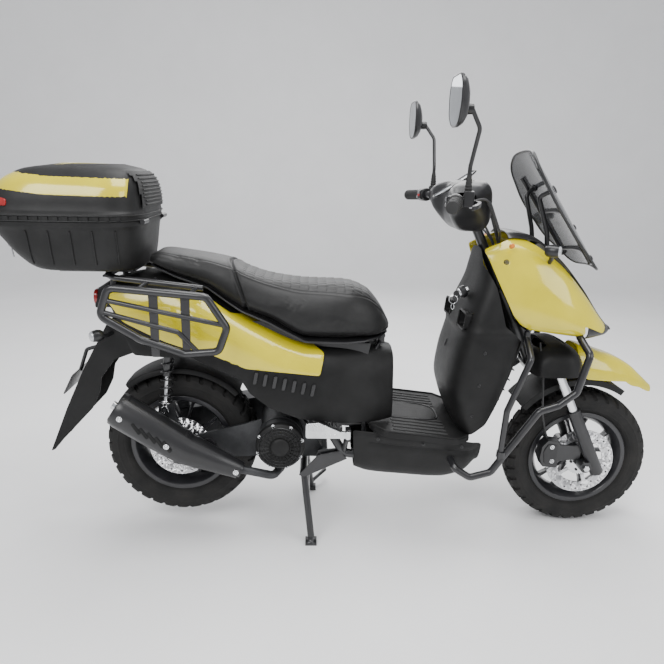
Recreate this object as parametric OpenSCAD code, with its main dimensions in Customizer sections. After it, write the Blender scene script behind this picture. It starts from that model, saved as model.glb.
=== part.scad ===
// Moped scooter with a step-through floor, a stepped seat and a rear top box, held up on its centre stand.
// Millimetres, +X is forward, +Y is the rider's left, +Z is up.
// The origin is on the ground below the middle of the whole scooter.

/* [Overall] */
// Distance between the front and rear axles
wheel_base = 1310; // [1280:5:1600]
// Distance from the middle to the outer end of each handlebar tube
bar_reach = 342; // [300:2:420]
// Tilt of the steering axis back from upright
rake = 26; // [24:0.5:28]

/* [Wheels] */
// Outside radius of the rear tyre
rear_tyre_r = 243; // [236:1:248]
// Width of the rear tyre
rear_tyre_w = 130; // [110:2:132]
// Outside radius of the front tyre
front_tyre_r = 236.5; // [230:0.5:240]
// Width of the front tyre
front_tyre_w = 120; // [90:2:122]
// Radius of the rim where the tyre sits
rim_r = 152; // [145:1:158]
// Radius of both wheel axles
axle_r = 7.5; // [6:0.5:9]
// Outside radius of the front brake disc
front_disc_r = 112; // [100:1:115]
// Outside radius of the rear brake disc
rear_disc_r = 98; // [90:1:100]

/* [Frame and steering] */
// Radius of the floor and seat rails
rail_r = 14; // [11:0.5:15]
// Radius of the steering stem
stem_r = 15; // [12:0.5:17]
// Radius of the handlebar tube
bar_r = 11; // [9:0.5:12.5]
// Radius of the guard tubes
guard_r = 11; // [8:0.5:12]
// Radius of the polished upper fork tubes
fork_tube_r = 15; // [12:0.5:16]

/* [Suspension] */
// Radius of the rear spring coils' centre line
spring_r = 18; // [16:0.5:18.5]
// Thickness of the rear spring wire
spring_wire = 5; // [3:0.5:5.5]

/* [Body] */
// Thickness of the plastic panels
panel_t = 4; // [3:0.5:5]
// Height of the crown of the rider's seat
seat_h = 822; // [800:2:840]
// Thickness of the windshield
shield_t = 4; // [3:0.5:5]

/* [Hidden] */
gap = 0.3;
// Travel of the two push buttons, and the floor of their pockets
press_travel = 2.5;
pocket_floor = 12.2;
front_x = wheel_base;
middle_x = (front_x + front_tyre_r - 508) / 2;
// How far the front end has moved from its drawn place
dx = wheel_base - 1310;
rear_z = 289.5;
front_z = 236.5;
axis_x = front_x + 90;
swing = [455, 270];
shock_top = [-8, 690];
shock_low = [-35, 430];
shock_y = 103;
fork_y = 97;
fork_o = 54;
stand_pivot = [395, 228];
stem_hole = stem_r + gap;
seat_hinge = [640, 652];

function unit(v) = v / norm(v);
function turn(a, b, c) = acos(unit(b - a) * unit(c - b));
function bow(v, e) = sign(v) * pow(abs(v), e);
function lean(s, o = 0) = [axis_x - s * sin(rake) + o * cos(rake), 0, s * cos(rake) + o * sin(rake)];

module origin() translate([-middle_x, 0, 0]) children();
module both() {
  children();
  mirror([0, 1, 0]) children();
}
module on_axis() translate([axis_x, 0, 0]) rotate([0, -rake, 0]) children();
module along(p, q) {
  d = q - p;
  translate(p) rotate([0, acos(d[2] / norm(d)), atan2(d[1], d[0])]) children();
}
module rod(p, q, r) along(p, q) cylinder(h = norm(q - p), r = r, $fn = 48);
// A cylinder about a line that runs across the scooter
module across(x, z, y0, y1, r) translate([x, y1, z]) rotate([90, 0, 0]) cylinder(h = y1 - y0, r = r, $fn = 64);
// A flat outline in X and Z given a thickness in Y
module plate(pts, y0, y1) translate([0, y1, 0]) rotate([90, 0, 0]) linear_extrude(y1 - y0) polygon(pts);
module block(x0, x1, y0, y1, z0, z1) translate([x0, y0, z0]) cube([x1 - x0, y1 - y0, z1 - z0]);

module elbow(a, b, c, tube, bend) {
  u = unit(b - a);
  w = unit(c - b);
  n = unit(cross(u, w));
  angle = turn(a, b, c);
  centre = b + unit(w - u) * bend / cos(angle / 2);
  x = unit(b - u * bend * tan(angle / 2) - centre);
  y = cross(n, x);
  multmatrix([[x[0], y[0], n[0], centre[0]], [x[1], y[1], n[1], centre[1]], [x[2], y[2], n[2], centre[2]]])
    rotate_extrude(angle = angle, $fn = 72) translate([bend, 0]) circle(tube - 0.2, $fn = 48);
}
// How much a bend takes off the straight lengths at point i
function trim(pts, i, bend) = bend * tan(turn(pts[i - 1], pts[i], pts[i + 1]) / 2);
// A tube through the given points with a round bend at each one between the ends, or a ball at a slight bend
module tube(pts, r, bend) {
  last = len(pts) - 1;
  for (i = [0:last - 1]) {
    t0 = i == 0 ? 0 : trim(pts, i, bend);
    t1 = i == last - 1 ? 0 : trim(pts, i + 1, bend);
    u = unit(pts[i + 1] - pts[i]);
    rod(pts[i] + u * (t0 < 4 ? 0 : t0 - 1.5), pts[i + 1] - u * (t1 < 4 ? 0 : t1 - 1.5), r);
    if (t1 >= 4) elbow(pts[i], pts[i + 1], pts[i + 2], r, bend);
    else if (i < last - 1) ball(pts[i + 1], r);
  }
}
// A closed loop of tube through the given points
module loop(pts, r, bend) {
  n = len(pts);
  for (i = [0:n - 1]) {
    a = pts[i];
    b = pts[(i + 1) % n];
    c = pts[(i + 2) % n];
    t0 = bend * tan(turn(pts[(i + n - 1) % n], a, b) / 2);
    t1 = bend * tan(turn(a, b, c) / 2);
    rod(a + unit(b - a) * (t0 < 4 ? 0 : t0 - 1.5), b - unit(b - a) * (t1 < 4 ? 0 : t1 - 1.5), r);
    if (t1 >= 4) elbow(a, b, c, r, bend);
    else ball(b, r);
  }
}
module ball(p, r) translate(p) sphere(r = r + 0.3, $fn = 48);

// Rings for a body form: each row is a place, a low and a high edge, and a half width at each edge.
// In ring_x the places run along X, and t draws the ring in by a wall.
function ring_x(s, t = 0, e = 0.55, n = 28) = let (zm = (s[1] + s[2]) / 2, zh = (s[2] - s[1]) / 2 - t)
  [for (i = [0:n - 1]) let (a = 360 * (i + 0.5) / n, v = bow(sin(a), e), hw = s[3] + (s[4] - s[3]) * (v + 1) / 2 - t)
    [s[0], bow(cos(a), e) * hw, zm + v * zh]];
// In ring_z the places run along Z: low and high edges are in X.
function ring_z(s, t = 0, e = 0.55, n = 28) = let (xm = (s[1] + s[2]) / 2, xh = (s[2] - s[1]) / 2 - t)
  [for (i = [0:n - 1]) let (a = 360 * (i + 0.5) / n, u = bow(cos(a), e), hw = s[3] + (s[4] - s[3]) * (u + 1) / 2 - t)
    [xm + u * xh, bow(sin(a), e) * hw, s[0]]];
// In ring_y the places run along Y: Z edges first, then X edges.
function ring_y(s, t = 0, e = 0.6, n = 28) = let (zm = (s[1] + s[2]) / 2, xm = (s[3] + s[4]) / 2)
  [for (i = [0:n - 1]) let (a = 360 * (i + 0.5) / n)
    [xm + bow(sin(a), e) * ((s[4] - s[3]) / 2 - t), s[0], zm + bow(cos(a), e) * ((s[2] - s[1]) / 2 - t)]];
// Draws the first and last places in by the wall
function inward(rows, t) = let (k = len(rows) - 1)
  [for (i = [0:k]) [rows[i][0] + (i == 0 ? t : i == k ? -t : 0), rows[i][1], rows[i][2], rows[i][3], rows[i][4]]];
module skin(rings) {
  n = len(rings[0]);
  k = len(rings);
  faces = [for (j = [0:k - 2]) for (i = [0:n - 1]) let (m = (i + 1) % n)
    each [[j * n + i, (j + 1) * n + m, j * n + m], [j * n + i, (j + 1) * n + i, (j + 1) * n + m]]];
  ends = [[for (i = [0:n - 1]) i], [for (i = [0:n - 1]) k * n - 1 - i]];
  polyhedron([for (r = rings) each r], concat(faces, ends), convexity = 8);
}
module form_x(rows, t = 0, e = 0.55) skin([for (s = t == 0 ? rows : inward(rows, t)) ring_x(s, t, e)]);
module form_z(rows, t = 0, e = 0.55) skin([for (s = t == 0 ? rows : inward(rows, t)) ring_z(s, t, e)]);
module form_y(rows, t = 0, e = 0.6) skin([for (s = t == 0 ? rows : inward(rows, t)) ring_y(s, t, e)]);

// ---- Frame ----
rail_path = [[918 + dx, 120, 300], [520, 120, 290], [480, 120, 360], [215, 82, 575], [-170, 54, 760]];
spine_path = [lean(760), [975 + dx, 0, 560], [945 + dx, 0, 420], [905 + dx, 0, 300]];
// Height of the top of the floorboard
function floor_top(x) = 397.5 - 30.8 * (x - 640) / (265 + dx);
module frame() color("#26272a") {
  both() {
    tube(rail_path, rail_r, 40);
    rod([-176, 62, 752], [-176, 62, 840.9], 9);
    plate([[430, 262], [455, 248], [478, 256], [528, 280], [510, 306], [440, 300]], 112, 118);
    plate([[380, 222], [395, 212], [412, 222], [530, 278], [504, 304], [440, 290]], 128, 134);
    across(shock_top[0], shock_top[1], 60, 116, 6);
    rod([905 + dx, 0, 300], [905 + dx, 116, 300], rail_r - 3);
    rod([640, 0, 294], [640, 115, 294], 10);
    rod([215, 0, 575], [215, 88, 575], 11);
    rod([-150, 0, 750], [-150, 62, 750], 10);
    rod([1066 + dx, 18, 705], [1066 + dx, 132, 705], 9);
    rod([1066 + dx, 100, 706], [1220 + dx, 108, 715], 6.5);
    rod([1222 + dx, 0, 715], [1222 + dx, 134, 715], 8);
    rod([100, 84, 631], [100, 84, 675.9], 8);
    rod([680, 120, 292], [680, 120, floor_top(688) - 16.2], 8);
    rod([850 + dx, 120, 292], [850 + dx, 120, floor_top(858 + dx) - 16.2], 8);
    tube([[580, 120, 294], [584, 112, 520], [590, 92, 582], [628, 40, 634], [628, 0, 634]], 7, 16);
    block(624, 646, 24, 30, 628, 652);
    across(seat_hinge[0], seat_hinge[1], 24, 30, 8);
    rod([520, 120, 296], [527, 178, 386], 8);
    block(519, 535, 178, 182, 370, 408);
    block(519, 535, 182, 204, 370, 376);
    block(519, 535, 182, 204, 402, 408);
    translate([527, 196, 370]) cylinder(h = 38, r = 4, $fn = 48);
  }
  across(seat_hinge[0], seat_hinge[1], -30, 30, 4);
  across(swing[0], swing[1], -130, 130, 9);
  across(stand_pivot[0], stand_pivot[1], -134, 134, 7);
  rod([520, 120, 290], [520, 168, 250], 9);
  across(520, 240, 164, 172, 13);
  across(520, 240, 172, 198, 7);
  difference() {
    union() {
      on_axis() translate([0, 0, 706]) cylinder(h = 190, r = 27, $fn = 64);
      tube(spine_path, 20, 90);
    }
    on_axis() translate([0, 0, 690]) cylinder(h = 230, r = stem_hole, $fn = 64);
  }
}

guard_loop = [[-138, 230, 836], [-166, 230, 757], [-60, 230, 692], [60, 230, 650],
  [155, 230, 658], [180, 230, 727], [125, 230, 813]];
module side_guards() color("#1d1e20") both() {
  loop(guard_loop, guard_r, 24);
  rod([-146, 230, 801], [166, 230, 735], 7);
  tube([[-157, 230, 767.7], [45, 230, 713], [95, 230, 658.5]], 7, 18);
  rod([-60, 226, 831], [-60, 139.2, 831], 7);
  rod([80, 226, 818], [80, 139.2, 818], 7);
}
guard_front = [[1222 + dx, 128, 706.9], [1222 + dx, 128, 686], [1232 + dx, 196, 646], [1204 + dx, 200, 530],
  [1152 + dx, 200, 488], [1098 + dx, 200, 470], [968 + dx, 200, 268], [905 + dx, 200, 250],
  [860 + dx, 190, 275], [850 + dx, 145, 296], [850 + dx, 134.2, 296]];
guard_brace = [[1066 + dx, 120, 695.9], [1066 + dx, 120, 676], [1058 + dx, 196, 632], [1000 + dx, 200, 470],
  [992 + dx, 200, 305.3]];
module front_guards() color("#1d1e20") both() {
  tube(guard_front, guard_r, 18);
  tube(guard_brace, guard_r - 1.5, 18);
}
module rear_rack() color("#1d1e20") {
  both() tube([[100, 130, 818], [-150, 130, 845], [-176, 110, 850], [-176, 0, 850]], 9, 16);
  difference() {
    block(-330, -110, -75, 75, 852, 860);
    block(-300, -235, -50, 50, 850, 861);
    block(-215, -190, -50, 50, 850, 861);
  }
}

// ---- Front body ----
shield_rows = [[330, 900, 985, 140, 140], [440, 850, 1010, 172, 160], [510, 834, 1025, 180, 165],
  [590, 842, 1045, 178, 165], [670, 860, 1060, 172, 160], [745, 878, 1055, 162, 156], [850, 915, 1045, 135, 140],
  [940, 925, 1030, 92, 100]];
function shift_z(rows) = [for (s = rows) [s[0], s[1] + dx, s[2] + dx, s[3], s[4]]];
function shift_x(rows) = [for (s = rows) [s[0] + dx, s[1], s[2], s[3], s[4]]];
key_from = [884 + dx, -48, 804];
key_to = [936 + dx, -48, 830];
module leg_shield() color("#222325") {
  difference() {
    intersection() {
      difference() {
        form_z(shift_z(shield_rows));
        form_z(shift_z(shield_rows), panel_t);
      }
      translate([dx, 0, 0]) plate([[820, 377.2], [905, 367.3], [914, 371], [950, 405], [1015, 560], [1046, 668],
        [985, 720], [955, 830], [925, 890], [925, 960], [820, 960]], -220, 220);
    }
    both() translate([dx, 0, 0]) block(840, 925, 52, 130, 700, 750);
    on_axis() translate([0, 0, 850]) cylinder(h = 250, r = stem_r + 14, $fn = 48);
    rod(key_from, key_to, 15);
  }
  difference() {
    rod(key_from, key_to, 16);
    rod(key_from - [9, 0, 4.5], key_to + [9, 0, 4.5], 8 + gap);
  }
  translate([dx, 0, 0]) inner_apron();
}
// Louvred wall in front of the rider's shins, behind the front wheel
module inner_apron() difference() {
  intersection() {
    translate([-dx, 0, 0]) form_z(shift_z(shield_rows), 1);
    plate([[909, 372], [914, 371], [950, 405], [1015, 560], [1046, 668], [1040, 670], [1009, 562], [946, 409]],
      -190, 190);
  }
  translate([-dx, 0, 0]) tube(spine_path, 24, 90);
  for (i = [0:4]) block(900, 1100, -110, -50, 470 + 32 * i, 482 + 32 * i);
  for (i = [0:4]) block(900, 1100, 50, 110, 470 + 32 * i, 482 + 32 * i);
}
nose_rows = [[912, 868, 946, 118, 100], [1000, 700, 990, 165, 120], [1070, 676, 978, 184, 130],
  [1150, 668, 922, 186, 132], [1230, 664, 836, 166, 118], [1300, 676, 744, 130, 92], [1345, 680, 700, 70, 54]];
nose_side = [[920, 938], [936, 947], [1010, 981], [1028, 981], [1073, 958], [1152, 902], [1203, 850], [1257, 783],
  [1320, 708], [1300, 690], [1227, 719], [1234, 692], [1219, 680], [1150, 688], [1065, 699], [1033, 717],
  [1009, 747], [972, 824], [942, 888]];
module nose_shell() difference() {
  form_x(shift_x(nose_rows));
  form_x(shift_x(nose_rows), panel_t);
}
module front_panels() color("#e0cb3c") difference() {
  intersection() {
    nose_shell();
    translate([dx, 0, 0]) both() plate(nose_side, 92, 220);
  }
  translate([dx, 0, 0]) across(979, 906, -220, 220, 8);
  translate([dx, 0, 0]) both() rod([1108, 100, 886], [1100, 165, 937], 7 + gap);
  both() rod([1222 + dx, 128, 640], [1222 + dx, 128, 720], guard_r + 3);
  both() rod([1222 + dx, 122, 690], [1232 + dx, 196, 646], guard_r + 3);
}
shield_low = [1286, 0, 885];
shield_up = [1052, 0, 1222];
// A point near the windshield: height up it, angle round it, distance from the axis of its curve
function shield_at(h, turned, r) = let (d = unit(shield_up - shield_low))
  shield_low + d * h + [-d[2], 0, d[0]] * (260 - r * cos(turned)) + [0, r * sin(turned), 0];
module shield_stays() both() {
  tube([[1128, 60, 880], [1112, 64, 990], shield_at(285, 18, 215), shield_at(285, 18, 254)], 7, 14);
  rod(shield_at(285, 18, 250), shield_at(285, 18, 259.6 - shield_t), 11);
}
module nose_cowl() color("#222325") translate([dx, 0, 0]) {
  difference() {
    intersection() {
      translate([-dx, 0, 0]) nose_shell();
      plate([[985, 990], [1000, 960], [1010, 900], [1060, 860], [1180, 780], [1240, 724], [1300, 694], [1360, 690],
        [1360, 740], [1270, 880], [1100, 1000]], -91.7, 91.7);
    }
    translate([-dx, 0, 0]) on_axis() translate([0, 0, 850]) cylinder(h = 250, r = stem_r + 14, $fn = 48);
    translate([1262, 0, 785]) rotate([0, 52, 0]) cylinder(h = 90, r = 62, center = true, $fn = 64);
  }
  shield_stays();
}
module headlight() color("#dfe6ea") translate([1262 + dx, 0, 785]) rotate([0, 52, 0]) {
  translate([0, 0, -38]) cylinder(h = 46, r = 61.7, $fn = 64);
  translate([0, 0, 8]) cylinder(h = 6, r = 55, $fn = 64);
}
module windshield() color("#30343a") translate([dx, 0, 0]) intersection() {
  along(shield_low, shield_up) translate([260, 0, 0]) difference() {
    cylinder(h = 411, r = 260, $fn = 128);
    translate([0, 0, -1]) cylinder(h = 413, r = 260 - shield_t, $fn = 128);
  }
  along(shield_low, shield_up) translate([-10, 0, 0]) rotate([0, 90, 0]) linear_extrude(70)
    polygon([[0, -88], [0, 88], [-120, 138], [-260, 146], [-370, 128], [-405, 90], [-410, 40], [-410, -40],
      [-405, -90], [-370, -128], [-260, -146], [-120, -138]]);
}

// ---- Floor ----
module floorboard() color("#1f2022") difference() {
  intersection() {
    plate([[600, 384], [640, 381.5], [905 + dx, 350.7], [905 + dx, 366.7], [640, 397.5], [600, 400]], -196, 196);
    translate([0, 0, 300]) linear_extrude(200) polygon([[596, -150], [640, -196], [860 + dx, -196], [910 + dx, -150],
      [910 + dx, 150], [860 + dx, 196], [640, 196], [596, 150]]);
  }
  both() for (i = [2:3]) plate([[660, floor_top(660) - 3], [840 + dx, floor_top(840 + dx) - 3],
    [840 + dx, floor_top(840 + dx) + 5], [660, floor_top(660) + 5]], 44 * i - 4, 44 * i + 4);
  translate([dx, 0, 0]) block(890, 915, -24, 24, 340, 380);
}
belly_rows = [[552, 222, 420, 118, 172], [600, 208, 420, 128, 184], [700, 199, 420, 134, 190],
  [830 + dx, 188, 420, 130, 188], [900 + dx, 206, 420, 130, 184], [946 + dx, 246, 420, 112, 164]];
module belly_pan() color("#1b1c1e") difference() {
  intersection() {
    difference() {
      form_x(belly_rows);
      form_x(belly_rows, panel_t);
    }
    plate([[540, 180], [960 + dx, 180], [960 + dx, 330], [905 + dx, 350.5], [640, 381.3], [600, 383.8], [540, 396]],
      -220, 220);
  }
  both() rod([850 + dx, 130, 296], [860 + dx, 230, 272], 24);
  block(548, 568, -137, 137, 262, 322);
}

// ---- Rear body ----
cowl_rows = [[-238, 700, 800, 62, 56], [-180, 600, 834, 108, 92], [-60, 500, 856, 152, 118], [100, 480, 802, 172, 142],
  [250, 380, 718, 184, 152], [400, 330, 654, 188, 158], [500, 320, 648, 182, 150], [590, 330, 640, 158, 120],
  [672, 360, 620, 112, 84]];
// The front of the cowl between the rider's calves
cowl_front = [[676, 394], [660, 423], [634, 493], [611, 530], [617, 561], [628, 599], [630, 606]];
cowl_side = concat([[-245, 730], [-181, 752], [-113, 608], [64, 612], [205, 552], [234, 505], [293, 457], [382, 425],
  [504, 409], [560, 404], [600, 400.3], [640, 397.8]], cowl_front, [[620, 660], [400, 700], [100, 870], [-100, 880],
  [-245, 850]]);
panel_side = [[-206, 780], [-198, 806], [-180, 817], [-91, 811], [94, 799], [173, 746], [270, 722], [381, 669],
  [454, 626], [441, 563], [352, 572], [222, 583], [135, 601], [64, 625], [-47, 669], [-143, 709], [-180, 758]];
module panel_zone() difference() {
  both() plate(panel_side, 60, 220);
  block(150, 480, -95, 95, 600, 900);
}
module cowl_shell(t0, t1) difference() {
  form_x(cowl_rows, t0);
  form_x(cowl_rows, t1);
}
module side_panels() color("#e0cb3c") difference() {
  intersection() {
    cowl_shell(0, panel_t - 1);
    panel_zone();
  }
  both() rod([-176, 62, 780], [-176, 62, 900], 9 + gap);
}
module seat_cowl() color("#222325") {
  difference() {
    intersection() {
      form_x(cowl_rows);
      plate(cowl_side, -220, 220);
    }
    form_x(cowl_rows, panel_t + 2);
    intersection() {
      cowl_shell(-5, panel_t - 1);
      panel_zone();
    }
    both() rod([-176, 62, 780], [-176, 62, 900], 9 + gap);
    plate([[-70, 780], [-70, 900], [650, 900], [650, 560], [560, 560], [300, 610], [150, 720]], -92.3, 92.3);
  }
  intersection() {
    form_x(cowl_rows, 3);
    plate(concat(cowl_front, [[624, 606], [622, 601], [611, 563], [605, 530], [628, 491], [654, 421], [670, 396]]),
      -160, 160);
  }
}
module storage_tub() color("#2b2c2e") difference() {
  plate([[300, 530], [560, 520], [578, 560], [596, 640], [596, 646], [408, 648], [262, 712], [232, 712], [232, 620],
    [300, 600]], -92, 92);
  plate([[306, 536], [556, 526], [573, 560], [590, 640], [590, 660], [412, 660], [262, 730], [238, 730], [238, 624],
    [306, 606]], -88, 88);
}
module fuel_tank() color("#3a3b3e") {
  plate([[-50, 738], [200, 640], [214, 690], [200, 712], [120, 770], [-50, 838]], -90, 90);
  translate([10, 0, 806]) cylinder(h = 20, r = 24, $fn = 64);
}
module tail_fender() color("#1b1c1e") {
  fender_channel();
  block(-156, -144, -40, 40, 690, 739.9);
  block(-170, -144, -64.5, 64.5, 690, 696);
}
module fender_channel() difference() {
  plate([[-200, 700], [-225, 653], [-254, 604], [-291, 537], [-349, 416], [-411, 271], [-399, 275], [-369, 311],
    [-269, 417], [-243, 469], [-233, 520], [-190, 578], [-120, 605], [-120, 640], [-160, 712]], -68, 68);
  plate([[-196, 690], [-221, 650], [-250, 602], [-287, 535], [-345, 415], [-384, 322], [-369, 311], [-269, 417],
    [-239, 469], [-229, 520], [-187, 578], [-113, 605], [-113, 644], [-163, 706]], -64, 64);
}
module tail_lamp() color("#a01818") difference() {
  block(-244, -238.1, -46, 46, 750, 790);
  block(-250, -242, -38, 38, 768, 772);
}
module turn_signals() color("#c9ccce") both() {
  rod([-195, 68.1, 664], [-195, 104, 664], 7);
  rod([-195, 100, 664], [-214, 128, 672], 7);
  rod([-236, 128, 672], [-202, 128, 672], 17);
  translate([dx, 0, 0]) {
    rod([1108, 100, 886], [1100, 160, 933], 7);
    rod([1076, 160, 946], [1124, 160, 946], 17);
  }
}

// ---- Top box ----
tub_rows = [[860, -300, -110, 120, 120], [872, -372, -84, 172, 172], [900, -412, -78, 186, 188],
  [985, -488, -66, 204, 206], [996, -506, -64, 210, 212], [1006, -506, -64, 210, 212]];
lid_rows = [[1006.5, -508, -62, 212, 213], [1026, -504, -60, 210, 211], [1034, -490, -60, 198, 200],
  [1072, -478, -62, 188, 190], [1100, -464, -66, 176, 178], [1142, -400, -92, 140, 142], [1158, -300, -150, 84, 84]];
module box_tub() color("#2b2c2e") {
  tub_shell();
  translate([-480, 0, 962]) rotate([0, 90, 0]) difference() {
    cylinder(h = 26, r = 13, $fn = 64);
    translate([0, 0, -1]) cylinder(h = 24, r = 8 + gap, $fn = 64);
  }
}
module tub_shell() difference() {
  form_z(tub_rows, 0, 0.5);
  translate([0, 0, 4]) form_z(concat([for (s = tub_rows) s], [[1030, -506, -64, 210, 212]]), 4, 0.5);
  translate([-500, 0, 962]) rotate([0, 90, 0]) cylinder(h = 60, r = 12, $fn = 48);
}
lid_side = [[-470, 1100], [-384, 1066], [-330, 1062], [-117, 1056], [-92, 1072], [-92, 1180], [-470, 1180]];
pad_side = [[-92, 1034], [-92, 1150], [-30, 1150], [-30, 1034]];
module lid_shell(t0, t1) difference() {
  form_z(lid_rows, t0, 0.5);
  form_z(lid_rows, t1, 0.5);
}
module box_lid() color("#2b2c2e") {
  difference() {
    form_z(lid_rows, 0, 0.5);
    translate([0, 0, -6]) form_z(lid_rows, 4, 0.5);
    intersection() {
      lid_shell(-4, 2);
      plate(lid_side, -230, 230);
    }
  }
  intersection() {
    lid_shell(-6, 0);
    plate(pad_side, -120, 120);
  }
}
module box_lid_panel() color("#e0cb3c") intersection() {
  lid_shell(0, 2);
  plate(lid_side, -230, 230);
}
module box_lamps() color("#a01818") intersection() {
  lid_shell(-5, 0);
  both() plate([[-520, 1046], [-400, 1046], [-400, 1064], [-520, 1088]], 60, 220);
}
module box_key() color("#b8bbbe") {
  translate([-479, 0, 962]) rotate([0, 90, 0]) cylinder(h = 20, r = 8, $fn = 48);
  block(-490, -478, -1.5, 1.5, 957, 967);
  across(-494, 962, -1.5, 1.5, 9);
}

// ---- Seat ----
seat_rows = [[-66, 874, 904, 84, 80], [-40, 864, 911, 102, 94], [20, 842, 905, 111, 102], [110, 812, 892, 115, 106],
  [165, 776, 880, 130, 112], [212, 748, 858, 144, 116], [290, 718, seat_h + 12, 156, 116],
  [400, 662, seat_h, 162, 118], [520, 656, seat_h - 2, 150, 110], [580, 656, seat_h - 20, 128, 90],
  [626, 660, 756, 96, 64], [656, 668, 704, 50, 36]];
pan_rows = [for (s = seat_rows) [s[0] + (s[0] < 0 ? 5 : -4), s[1] - 4, s[1] + 4, s[3] - 18, s[3] - 18]];
// The cushion's foam, hollowed where the hard pan sits in it
module seat_cushion() color("#18191b") difference() {
  form_x(seat_rows, 0, 0.6);
  form_x([for (s = pan_rows) [s[0] + (s[0] < 0 ? -1 : 1), s[1] - 12, s[2] + 0.8, s[3] + 6, s[4] + 6]], 0, 0.3);
  block(598, 642, -22.5, 22.5, 630, 661.4);
  across(seat_hinge[0], seat_hinge[1], -23, 23, 10);
}
module seat_pan() color("#2b2c2e") difference() {
  union() {
    form_x(pan_rows, 0.1, 0.3);
    across(seat_hinge[0], seat_hinge[1], -22, 22, 9);
    block(600, 640, -22, 22, 653, 661);
  }
  across(seat_hinge[0], seat_hinge[1], -23, 23, 4 + gap);
}

// ---- Steering ----
bar_x = axis_x - 642;
bar_path = [[bar_x, -bar_reach, 1072], [bar_x + 42, -bar_reach + 142, 1080], [bar_x + 122, -64, 1060],
  [bar_x + 122, 64, 1060], [bar_x + 42, bar_reach - 142, 1080], [bar_x, bar_reach, 1072]];
module steering_stem() color("#2b2c2e") {
  on_axis() {
    translate([0, 0, 615]) cylinder(h = 535, r = stem_r, $fn = 64);
    difference() {
      translate([0, 0, 612]) linear_extrude(28) polygon([[-20, -34], [-20, 34], [24, fork_y + 22], [78, fork_y + 22],
        [78, -fork_y - 22], [24, -fork_y - 22]]);
      for (s = [-1, 1]) translate([fork_o, s * fork_y, 600]) cylinder(h = 60, r = fork_tube_r + 0.05, $fn = 64);
    }
  }
  difference() {
    along(lean(1140), [bar_x + 122, 0, 1060]) translate([0, 0, -2]) cylinder(h = 58, r = 24, $fn = 64);
    across(bar_x + 122, 1060, -40, 40, bar_r + 0.05);
  }
}
module fork_tubes() color("#c4c7ca") on_axis()
  for (s = [-1, 1]) translate([fork_o, s * fork_y, 300]) cylinder(h = 338, r = fork_tube_r, $fn = 64);
module handlebar() color("#1d1e20") tube(bar_path, bar_r, 40);
cover_rows = [[-166, 1062, 1102, -30, 34], [-120, 1035, 1122, -30, 58], [-50, 985, 1134, -24, 94], [50, 985, 1134, -24, 94],
  [120, 1035, 1122, -30, 58], [166, 1062, 1102, -30, 34]];
function cover_at(i) = let (s = cover_rows[i]) [s[0], s[1], s[2], bar_x + 90 + s[3] - (abs(s[0]) > 100 ? 22 : 0),
  bar_x + 90 + s[4] - (abs(s[0]) > 150 ? 18 : 0)];
module handlebar_cover() color("#1b1c1e") difference() {
  form_y([for (i = [0:5]) cover_at(i)]);
  form_y([for (i = [0:5]) cover_at(i)], 4);
  tube(bar_path, bar_r + 1, 40);
  on_axis() translate([0, 0, 1000]) cylinder(h = 115, r = 40, $fn = 48);
}
crown_rows = [[1096, 500, 584, 80, 56], [1120, 500, 620, 138, 124], [1160, 500, 640, 141, 129], [1205, 500, 640, 141, 129],
  [1240, 500, 628, 134, 116], [1266, 500, 606, 110, 80]];
module crown_cover() color("#1b1c1e") {
  difference() {
    form_x(shift_x(crown_rows));
    form_x(shift_x(crown_rows), panel_t);
    translate([dx, 0, 0]) block(1080, 1280, -150, 150, 490, 552);
    on_axis() translate([0, 0, 500]) cylinder(h = 300, r = stem_r + 16, $fn = 48);
  }
  both() on_axis() translate([40, 40, 544]) cylinder(h = 67.9, r = 6, $fn = 48);
  both() on_axis() translate([30, fork_y + 22.1, 616]) cube([20, 12, 20]);
  translate([front_x - 20, 0, 277]) rotate([90, 0, 0]) rotate([0, 0, 58]) rotate_extrude(angle = 84, $fn = 96)
    polygon([[246, -74], [249, -74], [249, 74], [246, 74], [230, 74], [230, 71], [246, 71], [246, -71], [230, -71],
      [230, -74]]);
}
fender_rows = [[1266.2, 440, 637, 94, 62], [1300, 440, 630, 95, 64], [1350, 440, 612, 93, 60], [1400, 430, 594, 85, 52],
  [1450, 430, 566, 71, 44], [1500, 440, 524, 49, 30], [1538, 456, 490, 23, 14]];
module front_fender() color("#e0cb3c") intersection() {
  difference() {
    form_x(shift_x(fender_rows));
    form_x(shift_x(fender_rows), panel_t);
  }
  translate([dx, 0, 0]) plate([[1262, 700], [1262, 552], [1293, 528], [1429, 515], [1451, 500], [1487, 490],
    [1520, 472], [1545, 466], [1545, 700]], -120, 120);
}

// ---- Controls ----
hand = [bar_x + 42, bar_reach - 142, 1080];
hand_end = [bar_x, bar_reach, 1072];
module at_hand() along(hand, hand_end) children();
module switch_case() {
  at_hand() {
    difference() {
      union() {
        translate([0, 0, 8]) cylinder(h = 30, r = 21, $fn = 64);
        translate([-11, -50, 12]) cube([22, 32, 22]);
        translate([-24, -44, 15]) cube([16, 16, 16]);
      }
      translate([0, 0, 7]) cylinder(h = 32, r = bar_r + 0.05, $fn = 64);
      translate([-6.3, -60, 0]) cube([12.6, 28, 40]);
      translate([0, pocket_floor, 21]) rotate([-90, 0, 0]) cylinder(h = 14, r = 6 + gap, $fn = 48);
    }
    translate([-11, -42, 23]) rotate([0, 90, 0]) cylinder(h = 22, r = 4, $fn = 48);
  }
}
mirror_ball = [798, 305, 1305];
mirror_path = [[822, 232, 1096], [822, 234, 1170], [826, 286, 1262], mirror_ball];
module mirror_stem() translate([bar_x - 758, bar_reach - 342, 0]) {
  tube(mirror_path, 5.5, 22);
  rod([822, 232, 1092], [822, 233, 1150], 11);
  translate(mirror_ball) sphere(r = 8, $fn = 48);
}
module switch_housings() color("#1b1c1e") both() {
  switch_case();
  mirror_stem();
}
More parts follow.
